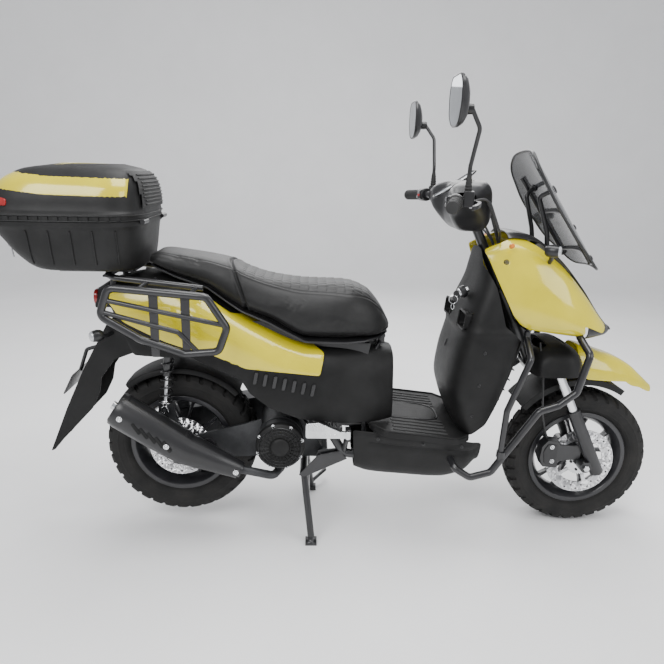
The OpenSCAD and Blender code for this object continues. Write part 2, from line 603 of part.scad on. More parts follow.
module grip(clear) at_hand() translate([0, 0, 40]) difference() {
  union() {
    cylinder(h = 112, r = 16.5, $fn = 64);
    cylinder(h = 5, r = 20, $fn = 64);
  }
  translate([0, 0, -1]) cylinder(h = 109.8, r = bar_r + clear, $fn = 64);
}
module grip_left() color("#141415") grip(0.05);
module grip_right() color("#141415") mirror([0, 1, 0]) grip(gap);
module lever() at_hand() difference() {
  union() {
    translate([-6, -42, 23]) rotate([0, 90, 0]) cylinder(h = 12, r = 9, $fn = 48);
    translate([-6, 0, 0]) rotate([0, 90, 0]) linear_extrude(12)
      polygon([[-16, -50], [-30, -50], [-44, -58], [-80, -57], [-130, -50], [-152, -46], [-153, -53], [-130, -60],
        [-80, -67], [-40, -68], [-20, -55]]);
  }
  translate([-12, -42, 23]) rotate([0, 90, 0]) cylinder(h = 24, r = 4 + gap, $fn = 48);
}
module lever_left() color("#1d1e20") lever();
module lever_right() color("#1d1e20") mirror([0, 1, 0]) lever();
module mirror_head() translate([bar_x - 758, bar_reach - 342, 0]) difference() {
  union() {
    hull() {
      translate([752, 312, 1322]) rotate([0, 90, 0]) linear_extrude(6)
        polygon([[-60, -46], [-60, 44], [-36, 66], [10, 68], [52, 46], [62, 20], [60, -30], [34, -62], [-24, -68]]);
      translate([782, 310, 1316]) rotate([0, 90, 0]) cylinder(h = 3, r = 34, $fn = 32);
    }
    translate([780, 305, 1305]) rotate([0, 90, 0]) cylinder(h = 15, r = 13, $fn = 48);
  }
  translate(mirror_ball) sphere(r = 8 + gap, $fn = 48);
  translate([751, 312, 1322]) rotate([0, 90, 0]) linear_extrude(2.5)
    polygon([[-54, -42], [-54, 40], [-33, 59], [9, 61], [47, 41], [55, 18], [53, -27], [30, -55], [-22, -60]]);
}
module mirror_left() color("#1b1c1e") mirror_head();
module mirror_right() color("#1b1c1e") mirror([0, 1, 0]) mirror_head();
module button() at_hand() translate([0, pocket_floor + press_travel + gap, 21]) rotate([-90, 0, 0])
  cylinder(h = 11, r = 6, $fn = 48);
module horn_button() color("#b01c22") button();
module starter_button() color("#6a6d70") mirror([0, 1, 0]) button();
module ignition_key() color("#b8bbbe") along(key_to, key_from) {
  translate([0, 0, 6]) cylinder(h = norm(key_to - key_from) - 6, r = 8, $fn = 48);
  translate([-5, -1.5, 50]) cube([10, 3, 22]);
  translate([0, 1.5, 78]) rotate([90, 0, 0]) cylinder(h = 3, r = 12, $fn = 48);
}

// ---- Fork and front wheel ----
module fork_lowers() color("#1d1e20") {
  on_axis() for (s = [-1, 1]) difference() {
    union() {
      translate([fork_o, s * fork_y, 212]) cylinder(h = 240, r = 21, $fn = 64);
      translate([22.8 + (front_x - wheel_base), s * fork_y, 252]) rotate([90, 0, 0])
        cylinder(h = 34, r = 18, center = true, $fn = 64);
      translate([22.8, s * fork_y - 17, 238]) cube([31.2, 34, 28]);
    }
    translate([fork_o, s * fork_y, 246]) cylinder(h = 220, r = fork_tube_r + gap, $fn = 64);
  }
  across(front_x, front_z, -114, 114, axle_r);
  translate([dx, 0, 0]) {
    plate([[1222, 246], [1222, 306], [1298, 300], [1298, 258]], -90, -82);
    difference() {
      plate([[1224, 226], [1176, 230], [1164, 258], [1168, 300], [1186, 322], [1226, 316]], -92, -52);
      across(1310, front_z, -69, -61, front_disc_r + 3);
    }
  }
}
module revolved(x, z, y = 0) translate([x, y, z]) rotate([90, 0, 0]) children();
module rim(half, hub_l, hub_right) {
  rotate_extrude($fn = 96) polygon([[rim_r, -half + 4], [163, -half + 4], [163, -half], [rim_r - 6, -half],
    [rim_r - 18, -20], [rim_r - 18, 20], [rim_r - 6, half], [163, half], [163, half - 4], [rim_r, half - 4]]);
  difference() {
    union() {
      translate([0, 0, -hub_l]) cylinder(h = hub_l + hub_right, r = 26, $fn = 64);
      for (i = [0:4]) for (k = [-13, 13]) rotate([0, 0, 72 * i + 18]) translate([18 * cos(k), 18 * sin(k), -9])
        rotate([0, 0, k]) translate([0, -5, 0]) cube([rim_r - 32, 10, 18]);
    }
    translate([0, 0, -hub_l - 1]) cylinder(h = hub_l + hub_right + 2, r = axle_r + gap, $fn = 64);
  }
}
// The tyre's half widths: at the bead, and at its widest
module tyre(r, half, bead) rotate_extrude($fn = 128) polygon(concat(
  [[rim_r + 0.1, -bead], [164, -bead], [171, -bead - (half - bead) * 0.55], [186, -half + 2], [200, -half],
    [r - 20, -half + 3], [r - 9, -half + 16], [r - 3, -half * 0.5], [r, -half * 0.18]],
  [[r, half * 0.18], [r - 3, half * 0.5], [r - 9, half - 16], [r - 20, half - 3], [200, half], [186, half - 2],
    [171, bead + (half - bead) * 0.55], [164, bead], [rim_r + 0.1, bead]],
  [[rim_r + 0.1, bead - 12], [176, bead - 6], [198, half - 9], [r - 24, half - 12], [r - 15, half * 0.5], [r - 12, 0],
    [r - 15, -half * 0.5], [r - 24, -half + 12], [198, -half + 9], [176, -bead + 6], [rim_r + 0.1, -bead + 12]]));
module disc(r, inner) difference() {
  union() {
    difference() {
      cylinder(h = 4, r = r, $fn = 96);
      translate([0, 0, -1]) cylinder(h = 6, r = inner, $fn = 96);
    }
    for (i = [0:4]) rotate([0, 0, 72 * i]) translate([24, -6, 0]) cube([inner - 22, 12, 4]);
    cylinder(h = 4, r = 36, $fn = 64);
  }
  translate([0, 0, -1]) cylinder(h = 6, r = 20, $fn = 64);
  for (i = [0:15]) rotate([0, 0, 22.5 * i]) translate([r - 10, 0, -1]) cylinder(h = 6, r = 3.5, $fn = 24);
  for (i = [0:15]) rotate([0, 0, 22.5 * i + 11]) translate([r - 22, 0, -1]) cylinder(h = 6, r = 3.5, $fn = 24);
}
module front_wheel() color("#1b1c1e") revolved(front_x, front_z) rim(44, 60, 63);
module front_tyre() color("#141415") revolved(front_x, front_z) tyre(front_tyre_r, front_tyre_w / 2, 39.9);
module front_disc() color("#b8bbbe") revolved(front_x, front_z, -63) disc(front_disc_r, front_disc_r - 36);

// ---- Engine and rear wheel ----
module engine_case() color("#4a4c4f") {
  difference() {
    union() {
      across(322, 336, -110, 120, 72);
      across(322, 336, -168, -110, 70);
      across(322, 336, 75, 165, 80);
      across(0, rear_z, 75, 165, 70);
      plate([[322, 416], [0, rear_z + 70], [0, rear_z - 70], [322, 256]], 75, 165);
      rod([340, 0, 345], [505, 0, 402], 46);
      plate([[455, 254], [455, 286], [380, 400], [322, 300], [340, 256]], -70, 70);
      across(swing[0], swing[1], -108, 108, 17);
      plate([[-75, 300], [15, 300], [-14, 446], [-56, 446]], 80, 90);
      across(shock_low[0], shock_low[1], 88, 116, 6);
      across(205, 300, 160, 184, 6);
    }
    across(swing[0], swing[1], -140, 140, 9 + gap);
  }
  across(0, rear_z, -96, 80, axle_r);
}
module swing_arm() color("#8d9092") difference() {
  union() {
    plate([[-30, 262], [-34, 315], [260, 390], [290, 270], [0, 255]], -92, -82);
    plate([[-75, 300], [15, 300], [-14, 446], [-56, 446]], -92, -82);
    across(shock_low[0], shock_low[1], -116, -88, 6);
  }
  across(0, rear_z, -100, -70, axle_r + 0.05);
  across(322, 336, -120, -60, 72.1);
}
can_low = [40, -160, 325];
can_high = [-165, -160, 462];
module muffler() color("#202123") {
  difference() {
    rod(can_low, can_high, 50);
    along(can_low, can_high) translate([0, 0, norm(can_high - can_low) - 14]) cylinder(h = 20, r = 42, $fn = 64);
  }
  rod(can_high - unit(can_high - can_low) * 40, can_high + unit(can_high - can_low) * 12, 13);
  along([196, -160, 257], can_low) cylinder(h = norm(can_low - [196, -160, 257]) + 5, r1 = 26, r2 = 48, $fn = 64);
  tube([[190, -160, 258.2], [300, -160, 234], [322, -105, 232], [322, -60, 232], [322, -60, 263.8]], 13, 24);
  across(20, 338, -130, -92.1, 14);
  along(can_low, can_high) translate([0, 0, 20]) rotate([0, 0, 30]) rotate_extrude(angle = 120, $fn = 96)
    translate([49.5, 0]) square([6.5, 190]);
}
module rear_hugger() color("#1b1c1e") {
  revolved(0, rear_z) rotate([0, 0, 44]) rotate_extrude(angle = 84, $fn = 96)
    polygon([[262, -72], [265, -72], [265, 72], [262, 72], [246, 72], [246, 69.5], [262, 69.5], [262, -69.5],
      [246, -69.5], [246, -72]]);
  plate([[-56, 415], [-14, 415], [-6, 545], [-66, 540]], 72, 75.5);
  plate([[-56, 415], [-14, 415], [-14, 446], [-56, 446]], 75, 79.9);
}
module rear_wheel() color("#1b1c1e") revolved(0, rear_z) rim(52, 62, 68);
module rear_tyre() color("#141415") revolved(0, rear_z) tyre(rear_tyre_r, rear_tyre_w / 2, 47.9);
module rear_disc() color("#b8bbbe") revolved(0, rear_z, -68) disc(rear_disc_r, rear_disc_r - 34);

shock_len = norm([shock_top[0] - shock_low[0], shock_top[1] - shock_low[1]]);
// Placed at the top eye and pointing down to the lower eye
module at_shock() both() along([shock_top[0], shock_y, shock_top[1]], [shock_low[0], shock_y, shock_low[1]]) children();
module eye(r, hole) rotate([90, 0, 0]) difference() {
  cylinder(h = 20, r = r, center = true, $fn = 64);
  cylinder(h = 22, r = hole, center = true, $fn = 64);
}
module shock_bodies() color("#b01c22") at_shock() {
  eye(13, 6 + gap);
  difference() {
    union() {
      translate([0, 0, 11]) cylinder(h = 139, r = 12, $fn = 64);
      translate([0, 0, 20]) cylinder(h = 4, r = 21.5, $fn = 64);
    }
    translate([0, 0, 30]) cylinder(h = 130, r = 6 + gap, $fn = 64);
    rotate([90, 0, 0]) cylinder(h = 30, r = 12.5, center = true, $fn = 64);
  }
}
module shock_rods() color("#c4c7ca") at_shock() {
  translate([0, 0, shock_len]) eye(13, 8.5);
  translate([0, 0, 135]) cylinder(h = shock_len - 147, r = 6, $fn = 64);
  translate([0, 0, shock_len - 29]) cylinder(h = 17.5, r = 9, $fn = 64);
  translate([0, 0, shock_len - 29]) cylinder(h = 4, r = 21.5, $fn = 64);
}
module shock_springs() color("#8a1a1e") at_shock() {
  turns = 8;
  low = 24.1 + spring_wire / 2;
  rise = shock_len - 29.1 - spring_wire / 2 - low;
  skin([for (i = [0:18 * turns]) let (a = -20 * i, m = [cos(a), sin(a), 0])
    [for (k = [0:7]) let (b = 45 * k)
      m * (spring_r + spring_wire / 2 * cos(b)) + [0, 0, low + rise * i / (18 * turns) + spring_wire / 2 * sin(b)]]]);
}

// ---- Stands, pegs and kick starter ----
module centre_stand() color("#26272a") difference() {
  union() {
    across(stand_pivot[0], stand_pivot[1], -127.7, 127.7, 13);
    both() {
      rod([395, 110, 222], [420, 168, 22], 11);
      block(402, 438, 152, 186, 0, 12);
      block(410, 430, 158, 180, 8, 24);
      rod([407, 0, 130], [407, 134, 130], 8);
    }
    tube([[420, 168, 26], [456, 200, 44], [472, 216, 50], [472, 246, 50]], 6.5, 8);
  }
  across(stand_pivot[0], stand_pivot[1], -140, 140, 7 + gap);
}
module side_stand() color("#26272a") {
  difference() {
    union() {
      across(520, 240, 172.3, 190, 14);
      rod([508, 184, 238], [340, 192, 212], 8.5);
    }
    across(520, 240, 170, 200, 7 + gap);
  }
  rod([340, 180, 210], [340, 206, 214], 10);
}
module peg() difference() {
  union() {
    translate([527, 196, 376.3]) cylinder(h = 25.4, r = 8, $fn = 48);
    block(400, 527, 190, 202, 380, 398);
    plate([[400, 380], [400, 426], [440, 430], [505, 400], [510, 380]], 190, 202);
  }
  translate([527, 196, 370]) cylinder(h = 40, r = 4 + gap, $fn = 48);
}
module peg_left() color("#c4c7ca") peg();
module peg_right() color("#c4c7ca") mirror([0, 1, 0]) peg();
module kick_lever() color("#b8bbbe") difference() {
  union() {
    across(205, 300, 165.4, 182, 14);
    rod([200, 174, 302], [72, 178, 372], 7);
    rod([72, 172, 372], [72, 222, 372], 8);
  }
  across(205, 300, 160, 190, 6 + gap);
}

origin() frame();
origin() side_guards();
origin() front_guards();
origin() rear_rack();
origin() leg_shield();
origin() front_panels();
origin() nose_cowl();
origin() headlight();
origin() windshield();
origin() floorboard();
origin() belly_pan();
origin() side_panels();
origin() seat_cowl();
origin() storage_tub();
origin() fuel_tank();
origin() tail_fender();
origin() tail_lamp();
origin() turn_signals();
origin() box_tub();
origin() box_lid();
origin() box_lid_panel();
origin() box_lamps();
origin() box_key();
origin() seat_cushion();
origin() seat_pan();
origin() steering_stem();
origin() fork_tubes();
origin() handlebar();
origin() handlebar_cover();
origin() crown_cover();
origin() front_fender();
origin() switch_housings();
origin() grip_left();
origin() grip_right();
origin() lever_left();
origin() lever_right();
origin() mirror_left();
origin() mirror_right();
origin() horn_button();
origin() starter_button();
origin() ignition_key();
origin() fork_lowers();
origin() front_wheel();
origin() front_tyre();
origin() front_disc();
origin() engine_case();
origin() swing_arm();
origin() muffler();
origin() rear_hugger();
origin() rear_wheel();
origin() rear_tyre();
origin() rear_disc();
origin() shock_bodies();
origin() shock_rods();
origin() shock_springs();
origin() centre_stand();
origin() side_stand();
origin() peg_left();
origin() peg_right();
origin() kick_lever();
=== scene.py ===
import math

import bmesh
import bpy
import numpy as np
from mathutils import Matrix, Vector
from mathutils.geometry import delaunay_2d_cdt


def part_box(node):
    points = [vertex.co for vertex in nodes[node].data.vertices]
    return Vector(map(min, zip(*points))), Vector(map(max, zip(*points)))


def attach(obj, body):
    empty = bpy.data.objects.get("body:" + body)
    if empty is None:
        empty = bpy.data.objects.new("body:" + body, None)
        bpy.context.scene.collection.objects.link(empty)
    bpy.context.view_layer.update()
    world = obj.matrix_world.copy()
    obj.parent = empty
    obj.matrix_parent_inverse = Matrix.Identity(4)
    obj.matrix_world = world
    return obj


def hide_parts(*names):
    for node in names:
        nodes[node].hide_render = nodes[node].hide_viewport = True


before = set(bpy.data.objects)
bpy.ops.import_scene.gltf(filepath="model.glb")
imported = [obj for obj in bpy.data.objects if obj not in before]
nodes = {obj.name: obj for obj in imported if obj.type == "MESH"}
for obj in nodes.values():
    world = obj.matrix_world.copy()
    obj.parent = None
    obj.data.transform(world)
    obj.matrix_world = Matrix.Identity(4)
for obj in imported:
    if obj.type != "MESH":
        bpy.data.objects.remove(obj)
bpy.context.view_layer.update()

# Sizes below are millimetres, measured from the ground under the rear axle: +X forward, +Y to the left
rearAxleX = 500 * (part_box("rear_wheel")[0].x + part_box("rear_wheel")[1].x)
print("frame loaded:", len(nodes), "nodes")


def metres(points):
    return (np.asarray(points, float) + (rearAxleX, 0, 0)) / 1000


def unit(v):
    v = np.asarray(v, float)
    return v / max(np.linalg.norm(v), 1e-9)


def bow(v, power):
    return np.sign(v) * np.abs(v) ** power


# Finishes: what a user would change is in this dictionary
finishes = {"yellowGloss": dict(dark=(0.60, 0.50, 0.006), light=(0.71, 0.60, 0.014), rough=(0.16, 0.24),
    patch=5, grain=700, bump=0.02, coat=0.7), "blackMatte": dict(dark=(0.005, 0.005, 0.005),
    light=(0.012, 0.012, 0.012), rough=(0.42, 0.60), patch=9, grain=1400, bump=0.22, style="leatherette",
    spec=0.26), "blackSatin": dict(dark=(0.012, 0.012, 0.013), light=(0.020, 0.020, 0.021),
    rough=(0.26, 0.38), patch=7, grain=900, bump=0.05),
    "blackPaint": dict(dark=(0.010, 0.010, 0.011), light=(0.018, 0.018, 0.020), rough=(0.24, 0.36),
    patch=14, grain=420, bump=0.07, coat=0.25), "boxPlastic": dict(dark=(0.008, 0.008, 0.008),
    light=(0.017, 0.017, 0.017), rough=(0.44, 0.60), patch=8, grain=1100, bump=0.30, style="leatherette",
    spec=0.28), "seatVinyl": dict(dark=(0.006, 0.006, 0.006), light=(0.014, 0.014, 0.014),
    rough=(0.40, 0.55), patch=12, grain=620, bump=0.30, style="leatherette", sheen=0.04, spec=0.32),
    "gripRubber": dict(dark=(0.010, 0.010, 0.010), light=(0.020, 0.020, 0.020), rough=(0.60, 0.78),
    patch=18, grain=800, bump=0.2), "tyreRubber": dict(dark=(0.012, 0.012, 0.012),
    light=(0.022, 0.021, 0.020), rough=(0.62, 0.85), patch=14, grain=500, bump=0.25, spec=0.25),
    "alloyBlack": dict(dark=(0.012, 0.012, 0.014), light=(0.024, 0.024, 0.027), rough=(0.24, 0.36),
    patch=16, grain=600, bump=0.05, coat=0.2), "castAlloy": dict(dark=(0.20, 0.20, 0.205),
    light=(0.34, 0.34, 0.345), rough=(0.38, 0.55), patch=20, grain=420, bump=0.25, metal=0.9),
    "darkCast": dict(dark=(0.030, 0.031, 0.033), light=(0.060, 0.061, 0.064), rough=(0.40, 0.58),
    patch=18, grain=480, bump=0.25, metal=0.5), "brightAlloy": dict(dark=(0.60, 0.61, 0.62),
    light=(0.78, 0.79, 0.80), rough=(0.16, 0.30), patch=22, grain=300, bump=0.06, metal=1,
    style="brushed"), "discSteel": dict(dark=(0.46, 0.46, 0.47), light=(0.64, 0.64, 0.65),
    rough=(0.24, 0.36), patch=60, grain=240, bump=0.06, metal=1, style="brushed"),
    "chrome": dict(dark=(0.74, 0.75, 0.76), light=(0.86, 0.87, 0.88), rough=(0.05, 0.13), patch=30,
    grain=200, bump=0.02, metal=1), "mirrorGlass": dict(dark=(0.20, 0.22, 0.24), light=(0.30, 0.32, 0.35),
    rough=(0.02, 0.05), patch=12, grain=60, bump=0.003, metal=1),
    "smokeScreen": dict(dark=(0.030, 0.032, 0.036), light=(0.050, 0.052, 0.058), rough=(0.05, 0.10),
    patch=6, grain=90, bump=0.01, alpha=0.80, coat=0.5),
    "clearLens": dict(dark=(0.70, 0.74, 0.78), light=(0.84, 0.87, 0.90), rough=(0.05, 0.11), patch=20,
    grain=160, bump=0.05, alpha=0.62), "signalLens": dict(dark=(0.44, 0.45, 0.47),
    light=(0.66, 0.67, 0.69), rough=(0.10, 0.20), patch=40, grain=260, bump=0.25, metal=0.35,
    style="ribbed"), "redLens": dict(dark=(0.22, 0.008, 0.008), light=(0.40, 0.014, 0.012),
    rough=(0.08, 0.16), patch=40, grain=300, bump=0.25, coat=0.6, style="ribbed"),
    "redButton": dict(dark=(0.42, 0.012, 0.016), light=(0.55, 0.02, 0.025), rough=(0.25, 0.38), patch=40,
    grain=600, bump=0.08), "greyPlastic": dict(dark=(0.16, 0.16, 0.165), light=(0.23, 0.23, 0.235),
    rough=(0.40, 0.55), patch=20, grain=900, bump=0.15),
    "orangePart": dict(dark=(0.62, 0.17, 0.012), light=(0.78, 0.25, 0.02), rough=(0.28, 0.40), patch=30,
    grain=500, bump=0.08), "springPaint": dict(dark=(0.012, 0.012, 0.013), light=(0.024, 0.024, 0.025),
    rough=(0.22, 0.34), patch=30, grain=500, bump=0.08, coat=0.3),
    "cableSheath": dict(dark=(0.010, 0.010, 0.010), light=(0.020, 0.020, 0.021), rough=(0.35, 0.5),
    patch=30, grain=700, bump=0.1), "studioFloor": dict(dark=(0.90, 0.90, 0.90), light=(0.94, 0.94, 0.94),
    rough=(0.50, 0.62), patch=2, grain=60, bump=0.01), }


# A ramp between two shades, driven by soft cloudy noise
def shadeRamp(tree, source, dark, light):
    ramp = tree.nodes.new("ShaderNodeValToRGB")
    ramp.color_ramp.elements[0].position = 0.34
    ramp.color_ramp.elements[0].color = (*dark, 1)
    ramp.color_ramp.elements[1].position = 0.68
    ramp.color_ramp.elements[1].color = (*light, 1)
    tree.links.new(source, ramp.inputs["Fac"])
    return ramp.outputs["Color"]


def surfaceNoise(tree, where, scale, detail, rough=0.55):
    grain = tree.nodes.new("ShaderNodeTexNoise")
    grain.inputs["Scale"].default_value = scale
    grain.inputs["Detail"].default_value = detail
    grain.inputs["Roughness"].default_value = rough
    tree.links.new(where, grain.inputs["Vector"])
    return grain.outputs["Fac"]


# The fine relief: leatherette cells, brushed lines, moulded ribs or plain grain
def reliefPattern(tree, where, look):
    style = look.get("style")
    if style == "leatherette":
        cells = tree.nodes.new("ShaderNodeTexVoronoi")
        cells.feature = "SMOOTH_F1"
        cells.inputs["Scale"].default_value = look["grain"]
        tree.links.new(where, cells.inputs["Vector"])
        return cells.outputs["Distance"]
    if style in ("brushed", "ribbed"):
        stretch = tree.nodes.new("ShaderNodeMapping")
        stretch.inputs["Scale"].default_value = (1, 14, 1) if style == "brushed" else (1, 1, 5)
        tree.links.new(where, stretch.inputs["Vector"])
        return surfaceNoise(tree, stretch.outputs["Vector"], look["grain"], 3)
    return surfaceNoise(tree, where, look["grain"], 4)


def makeFinish(name):
    look = finishes[name]
    made = bpy.data.materials.new(name)
    made.use_nodes = True
    tree = made.node_tree
    shader = tree.nodes["Principled BSDF"]
    where = tree.nodes.new("ShaderNodeTexCoord").outputs["Object"]
    cloud = surfaceNoise(tree, where, look["patch"], 5, 0.62)
    tree.links.new(shadeRamp(tree, cloud, look["dark"], look["light"]), shader.inputs["Base Color"])
    wear = tree.nodes.new("ShaderNodeMapRange")  # patches a little duller than the rest
    wear.inputs["To Min"].default_value = look["rough"][0]
    wear.inputs["To Max"].default_value = look["rough"][1]
    tree.links.new(surfaceNoise(tree, where, look["patch"] * 3.1, 6, 0.7), wear.inputs["Value"])
    tree.links.new(wear.outputs["Result"], shader.inputs["Roughness"])
    relief = tree.nodes.new("ShaderNodeBump")
    relief.inputs["Strength"].default_value = look["bump"]
    relief.inputs["Distance"].default_value = 0.0006
    tree.links.new(reliefPattern(tree, where, look), relief.inputs["Height"])
    tree.links.new(relief.outputs["Normal"], shader.inputs["Normal"])
    shader.inputs["Metallic"].default_value = look.get("metal", 0)
    shader.inputs["Coat Weight"].default_value = look.get("coat", 0)
    shader.inputs["Coat Roughness"].default_value = 0.08
    shader.inputs["Sheen Weight"].default_value = look.get("sheen", 0)
    shader.inputs["Specular IOR Level"].default_value = look.get("spec", 0.5)
    shader.inputs["Alpha"].default_value = look.get("alpha", 1)
    return made


materials = {name: makeFinish(name) for name in finishes}
print("finishes made:", len(materials))


# Shapes: each is a list of points and a list of faces, joined into pieces further down
def crossAxes(axis):
    axis = unit(axis)
    side = np.cross(axis, (0, 0, 1) if abs(axis[2]) < 0.9 else (1, 0, 0))
    side = unit(side)
    return side, np.cross(axis, side)


# Turns a profile of (radius, height) points round an axis
def lathe(profile, origin, axis, turns=48, arc=360, start=0, closed=False):
    u, w = crossAxes(axis)
    axis = unit(axis)
    full = arc >= 360
    steps = turns if full else turns + 1
    angles = [math.radians(start + arc * i / turns) for i in range(steps)]
    points = [np.asarray(origin) + axis * h + (u * math.cos(a) + w * math.sin(a)) * r for a in angles
        for r, h in profile]
    k = len(profile)
    faces = []
    for i in range(turns):
        j = (i + 1) % steps
        for m in range(k if closed else k - 1):
            n = (m + 1) % k
            faces.append((i * k + m, i * k + n, j * k + n, j * k + m))
    if not full and closed:
        faces += [tuple(range(k)), tuple(reversed(range((steps - 1) * k, steps * k)))]
    return points, faces


# A path with its corners rounded
def roundPath(points, bend, steps=7):
    points = [np.asarray(p, float) for p in points]
    path = [points[0]]
    for a, b, c in zip(points, points[1:], points[2:]):
        u, w = unit(b - a), unit(c - b)
        turn = math.acos(max(-1, min(1, float(u @ w))))
        trim = min(bend * math.tan(turn / 2), 0.48 * np.linalg.norm(b - a), 0.48 * np.linalg.norm(c - b))
        p, q = b - u * trim, b + w * trim
        for i in range(steps + 1):
            t = i / steps
            path.append(p * (1 - t) ** 2 + b * 2 * t * (1 - t) + q * t * t)
    return path + [points[-1]]


# A round bar along a path; radius may be a function of how far along it is
def sweep(path, radius, sides=16, ends=True, loop=False):
    path = [np.asarray(p, float) for p in path]
    count = len(path)
    u = crossAxes(path[1] - path[0])[0]
    points = []
    for i, p in enumerate(path):
        after = path[(i + 1) % count] if loop or i < count - 1 else p
        before = path[i - 1] if loop or i > 0 else p
        d = unit(after - before)
        u = unit(u - d * (u @ d))
        w = np.cross(d, u)
        r = radius(i / (count - 1)) if callable(radius) else radius
        points += [p + (u * math.cos(a) + w * math.sin(a)) * r
            for a in np.arange(sides) * 2 * math.pi / sides]
    faces = []
    for i in range(count if loop else count - 1):
        j = (i + 1) % count
        for m in range(sides):
            n = (m + 1) % sides
            faces.append((i * sides + m, i * sides + n, j * sides + n, j * sides + m))
    if ends and not loop:
        faces += [tuple(reversed(range(sides))), tuple(range((count - 1) * sides, count * sides))]
    return points, faces


# A flat outline given thickness: plane xz runs from y=low to y=high, and so on
def slab(outline, low, high, plane="xz"):
    order = {"xz": (0, 2, 1), "xy": (0, 1, 2), "yz": (1, 2, 0)}[plane]
    points = []
    for level in (low, high):
        for a, b in outline:
            p = [0, 0, 0]
            p[order[0]], p[order[1]], p[order[2]] = a, b, level
            points.append(p)
    k = len(outline)
    faces = [tuple(range(k)), tuple(reversed(range(k, 2 * k)))]
    faces += [(i, i + k, (i + 1) % k + k, (i + 1) % k) for i in range(k)]
    return points, faces


def brick(low, high):
    return slab([(low[0], low[1]), (high[0], low[1]), (high[0], high[1]), (low[0], high[1])], low[2],
        high[2], "xy")


def mirrored(shape):
    points, faces = shape
    return [np.asarray(p) * (1, -1, 1) for p in points], [tuple(reversed(f)) for f in faces]


def bothSides(shape):
    return [shape, mirrored(shape)]


# Turned and moved: the shape's own Z points along axis at origin
def seated(shape, origin, axis, turn=0):
    u, w = crossAxes(axis)
    c, s = math.cos(math.radians(turn)), math.sin(math.radians(turn))
    u, w = u * c + w * s, w * c - u * s
    axis = unit(axis)
    return [np.asarray(origin) + u * p[0] + w * p[1] + axis * p[2] for p in np.asarray(shape[0],
        float)], shape[1]


# A hexagon-socket screw head with its washer
def screw(origin, axis, size=7):
    head = [(0, 1.2), (size * 0.32, 1.2), (size * 0.38, size * 0.62), (size * 0.52, size * 0.62),
        (size * 0.62, size * 0.5), (size * 0.62, 0.8), (size * 0.95, 0.8), (size * 0.95, -0.4), (0, -0.4)]
    return lathe(head, origin, axis, 20)


# One object from several shapes, each with its finish
def makePiece(name, parts, body, replaces=(), bevel=0, smooth=34, segments=2, thick=0,
              crease=None):
    groups = {}
    for shape, finish in parts:
        for one in shape if isinstance(shape, list) else [shape]:
            groups.setdefault(finish, []).append(one)
    mesh = bpy.data.meshes.new(name)
    points, faces, slots = [], [], []
    for number, (finish, shapes) in enumerate(groups.items()):
        mesh.materials.append(materials[finish])
        for p, f in shapes:
            base = len(points)
            points += [tuple(q) for q in p]
            faces += [tuple(base + i for i in face) for face in f]
            slots += [number] * len(f)
    mesh.from_pydata(metres(points).tolist(), [], faces)
    mesh.polygons.foreach_set("material_index", slots)
    work = bmesh.new()
    work.from_mesh(mesh)
    bmesh.ops.remove_doubles(work, verts=work.verts, dist=2e-6)
    bmesh.ops.dissolve_degenerate(work, edges=work.edges, dist=1e-6)
    bmesh.ops.recalc_face_normals(work, faces=work.faces)
    work.to_mesh(mesh)
    work.free()
    mesh.shade_smooth()
    mesh.set_sharp_from_angle(angle=math.radians(smooth))
    made = bpy.data.objects.new(name, mesh)
    bpy.context.scene.collection.objects.link(made)
    if thick:
        shell = made.modifiers.new("wall", "SOLIDIFY")
        shell.thickness, shell.offset = thick / 1000, -1
        shell.use_even_offset = False
    if bevel:
        edge = made.modifiers.new("edges", "BEVEL")
        edge.width, edge.segments = bevel / 1000, segments
        edge.limit_method, edge.angle_limit = "ANGLE", math.radians(40)
        edge.use_clamp_overlap = True
    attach(made, body)
    if replaces:
        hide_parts(*replaces)
    return made


# A CAD node that stays, with its corners broken and a finish
def dress(node, finish, bevel=0.8):
    made = nodes[node]
    made.data.materials.clear()
    made.data.materials.append(materials[finish])
    mesh = made.data
    if "custom_normal" in mesh.attributes:
        mesh.attributes.remove(mesh.attributes["custom_normal"])
    mesh.shade_smooth()
    join = made.modifiers.new("join", "WELD")
    join.merge_threshold = 0.00002
    if bevel:
        edge = made.modifiers.new("edges", "BEVEL")
        edge.width, edge.segments = bevel / 1000, 2
        edge.limit_method, edge.angle_limit = "ANGLE", math.radians(32)
    made.modifiers.new("shading", "WEIGHTED_NORMAL").keep_sharp = True


# Body forms: rows of place, low edge, high edge, half width at each
def smoothRows(rows, place):
    rows = np.asarray(rows, float)
    x = rows[:, 0]
    step = np.diff(x)
    slope = np.diff(rows[:, 1:], axis=0) / step[:, None]
    tangent = np.zeros((len(x), 4))
    tangent[0], tangent[-1] = slope[0], slope[-1]
    for i in range(1, len(x) - 1):
        a, b = slope[i - 1], slope[i]
        same = a * b > 0
        w1, w2 = 2 * step[i] + step[i - 1], step[i] + 2 * step[i - 1]
        with np.errstate(divide="ignore", invalid="ignore"):
            tangent[i] = np.where(same, (w1 + w2) / (w1 / a + w2 / b), 0)
    place = np.clip(place, x[0], x[-1])
    k = np.clip(np.searchsorted(x, place) - 1, 0, len(x) - 2)
    t = ((place - x[k]) / step[k])[..., None]
    h = step[k][..., None]
    a, b = rows[k, 1:], rows[k + 1, 1:]
    return (a * (1 + 2 * t) * (1 - t) ** 2 + h * tangent[k] * t * (1 - t) ** 2 + b * t * t * (3 - 2 * t)
        + h * tangent[k + 1] * t * t * (t - 1))


ringSteps = 361


# How far round a half ring each angle is, from its low edge to its high edge, as a share of the way
def ringShare(power):
    a = np.linspace(-90, 90, ringSteps)
    v, u = bow(np.sin(np.radians(a)), power), bow(np.abs(np.cos(np.radians(a))), power)
    run = np.concatenate([[0], np.cumsum(np.hypot(np.diff(v), np.diff(u)))])
    return v, u, run / run[-1]


